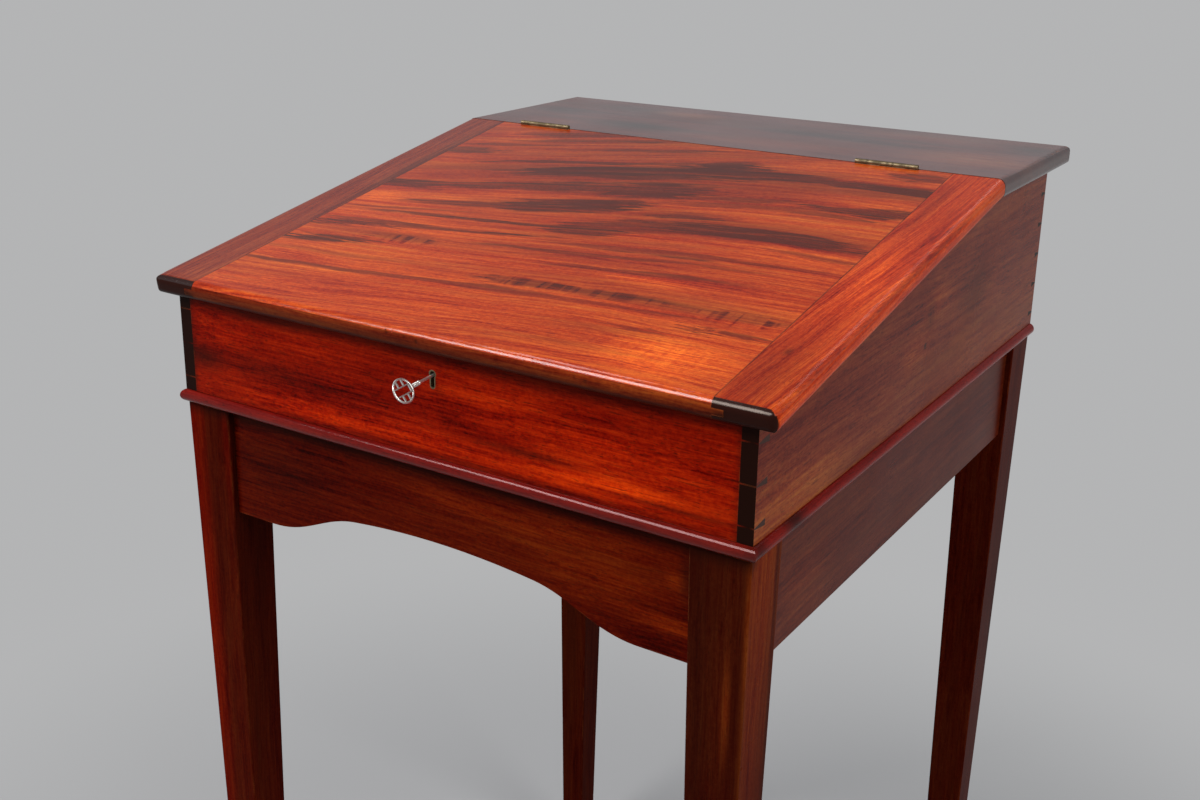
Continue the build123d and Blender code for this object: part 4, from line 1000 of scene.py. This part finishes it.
class DESK_OT_key(bpy.types.Operator):
    """Key: nickelled barrel, ball collar, ringed neck and a round fretted bow"""

    bl_idname = "desk.key"
    bl_label = "Key"

    # Where the lock holds the key, as frame_point takes it
    SEAT = (0, 16, 75.5)
    # The neck's rings in millimetres: the first one's place before the box, from one to the next,
    # the first one's radius, how much smaller each next one is, and the radius of their section
    NECK_RINGS = 5
    FIRST_RING = 20.8
    RING_PITCH = 1.25
    RING_RADIUS = 1.62
    RING_TAPER = 0.05
    RING_SECTION = 0.42

    def execute(self, context):
        metal = context.scene.desk_metal
        finish = worn_metal("Worn nickel", metal.nickel, 0.30, 0.26, metallic=0.82)
        recoat("key", finish)
        seat = frame_point(*self.SEAT)
        seat.x = KEY_X
        hang = Matrix.Translation(seat) @ Matrix.Rotation(KEY_HANG, 4, "X") @ Matrix.Translation(-seat)
        work = bmesh.new()
        for i in range(self.NECK_RINGS):
            y = FRONT_Y - (self.FIRST_RING + self.RING_PITCH * i) * MM
            radius = (self.RING_RADIUS - self.RING_TAPER * i) * MM
            ring = bmesh.ops.create_circle(
                work, segments=10, radius=self.RING_SECTION * MM,
                matrix=Matrix.Translation((KEY_X + radius, y, seat.z)),
            )
            edges = list(dict.fromkeys(e for v in ring["verts"] for e in v.link_edges))
            bmesh.ops.spin(
                work, geom=edges + ring["verts"], cent=(KEY_X, y, seat.z), axis=(0, 1, 0),
                angle=math.tau, steps=32, use_merge=True, use_duplicate=False,
            )
        bmesh.ops.remove_doubles(work, verts=work.verts, dist=0.01 * MM)
        # A spin leaves its faces in another order each run, so they are sorted by their corners
        work.verts.index_update()
        count = len(work.verts)
        work.faces.sort(
            key=lambda f: min(v.index for v in f.verts) * count + max(v.index for v in f.verts)
        )
        bmesh.ops.recalc_face_normals(work, faces=work.faces)
        bmesh.ops.transform(work, matrix=hang, verts=work.verts)
        finish_piece(work, "key_neck_rings", finish, "key", "key_nickel")
        return {"FINISHED"}


# ---- Stage ----
class DESK_OT_stage(bpy.types.Operator):
    """Stage: a wide pale floor, soft lamps and the camera"""

    bl_idname = "desk.stage"
    bl_label = "Stage"

    # Name, place, size, tint and target of each lamp
    LAMPS = (
        ("window", (-1.1, 0.05, 3.0), (0.9, 0.3), (0.90, 0.95, 1.0), (-0.1, -0.2, 1.05)),
        ("front", (-1.16, -1.98, 3.06), (1.5, 1.1), (1.0, 0.98, 0.96), (0.0, 0.0, 0.95)),
        ("right", (2.8, -0.5, 2.5), (1.6, 1.6), (1.0, 0.99, 0.97), (0.0, 0.0, 0.95)),
        ("back", (0.5, 2.6, 3.4), (0.9, 0.5), (1.0, 1.0, 1.0), (0.0, 0.0, 0.95)),
    )
    FLOOR_RADIUS = 60.0
    # The floor's own shading gives way to one plain tone between these distances from the desk
    FADE = (0.35, 1.5)
    CAMERA_PLACE = (0.7149, -1.2052, 1.3990)
    CAMERA_TURNS = ((33.772, "Z"), (72.131, "X"), (0.455, "Z"))
    LENS_SHIFT = (0.0332, -0.0459)

    def floor(self, context):
        work = bmesh.new()
        bmesh.ops.create_circle(work, cap_ends=True, segments=96, radius=self.FLOOR_RADIUS)
        mesh = bpy.data.meshes.new("floor")
        work.to_mesh(mesh)
        work.free()
        floor = bpy.data.objects.new("floor", mesh)
        context.scene.collection.objects.link(floor)
        stage = context.scene.desk_stage
        material, w, shader = shader_of("Pale floor")
        w.fill(shader, {
            "Base Color": full(stage.floor), "Roughness": 0.9, "Specular IOR Level": 0.2,
        })
        far = w.size_of(w.add("ShaderNodeTexCoord").outputs["Object"])
        ray = w.add("ShaderNodeLightPath").outputs
        seen = w.calc("MAXIMUM", ray["Is Camera Ray"], ray["Is Glossy Ray"])
        seen = w.calc("MAXIMUM", seen, ray["Is Transmission Ray"])
        plain = w.add(
            "ShaderNodeEmission", {"Color": (0.985, 0.99, 1.0, 1.0), "Strength": stage.far_floor}
        ).outputs[0]
        mixed = w.add("ShaderNodeMixShader", {0: w.calc("MULTIPLY", w.step(far, *self.FADE), seen)})
        w.give(mixed.inputs[1], shader.outputs[0])
        w.give(mixed.inputs[2], plain)
        w.give(material.node_tree.nodes["Material Output"].inputs["Surface"], mixed.outputs[0])
        mesh.materials.append(material)

    def lamp(self, context, name, place, size, tint, target):
        light = bpy.data.lights.new(name, "AREA")
        light.shape = "RECTANGLE"
        light.size, light.size_y = size
        light.energy = getattr(context.scene.desk_stage, name)
        light.color = tint
        lamp = bpy.data.objects.new(name, light)
        lamp.location = place
        aim = Vector(target) - Vector(place)
        lamp.rotation_euler = aim.to_track_quat("-Z", "Y").to_euler()
        context.scene.collection.objects.link(lamp)

    def world(self, context):
        """Grey room, pale low down, so that polished faces mirror a pale wall, and darker above."""
        stage = context.scene.desk_stage
        world = bpy.data.worlds.new("Room")
        context.scene.world = world
        world.use_nodes = True
        w = Wiring(world.node_tree)
        direction = w.add("ShaderNodeTexCoord").outputs["Generated"]
        height = w.split(direction)[2]
        tone = w.blend(w.step(height, 0.36, 0.54), full(stage.wall), full(stage.ceiling))
        w.give(world.node_tree.nodes["Background"].inputs["Color"], tone)

    def camera(self, context):
        camera = bpy.data.objects.new("camera", bpy.data.cameras.new("camera"))
        turn = Matrix.Identity(4)
        for angle, axis in self.CAMERA_TURNS:
            turn = turn @ Matrix.Rotation(math.radians(angle), 4, axis)
        camera.matrix_world = Matrix.Translation(self.CAMERA_PLACE) @ turn
        camera.data.lens = context.scene.desk_stage.lens
        camera.data.sensor_width = 36.0
        camera.data.shift_x, camera.data.shift_y = self.LENS_SHIFT
        camera.data.clip_end = 200.0
        context.scene.collection.objects.link(camera)
        context.scene.camera = camera

    def execute(self, context):
        self.floor(context)
        for lamp in self.LAMPS:
            self.lamp(context, *lamp)
        self.world(context)
        self.camera(context)
        context.scene.view_settings.view_transform = "Standard"
        return {"FINISHED"}


class DESK_PT_pieces(bpy.types.Panel):
    """Lists the desk's settings and pieces"""

    bl_label = "Clerk's standing desk"
    bl_idname = "DESK_PT_pieces"
    bl_space_type = "VIEW_3D"
    bl_region_type = "UI"
    bl_category = "Desk"

    def draw(self, context):
        for name, group in GROUPS:
            settings = getattr(context.scene, name)
            for field in group.__annotations__:
                self.layout.prop(settings, field)
        for operator in OPERATORS:
            self.layout.operator(operator.bl_idname)


OPERATORS = (
    DESK_OT_stage,
    DESK_OT_lid,
    DESK_OT_fixed_top,
    DESK_OT_box,
    DESK_OT_bead,
    DESK_OT_stand,
    DESK_OT_hardware,
    DESK_OT_key,
)
CLASSES = (*(group for _, group in GROUPS), *OPERATORS, DESK_PT_pieces)


def register():
    for cls in CLASSES:
        bpy.utils.register_class(cls)
    for name, group in GROUPS:
        setattr(bpy.types.Scene, name, bpy.props.PointerProperty(type=group))


def unregister():
    for name, _ in GROUPS:
        delattr(bpy.types.Scene, name)
    for cls in reversed(CLASSES):
        bpy.utils.unregister_class(cls)


def main():
    register()
    for operator in OPERATORS:
        family, name = operator.bl_idname.split(".")
        getattr(getattr(bpy.ops, family), name)()


if __name__ == "__main__":
    main()
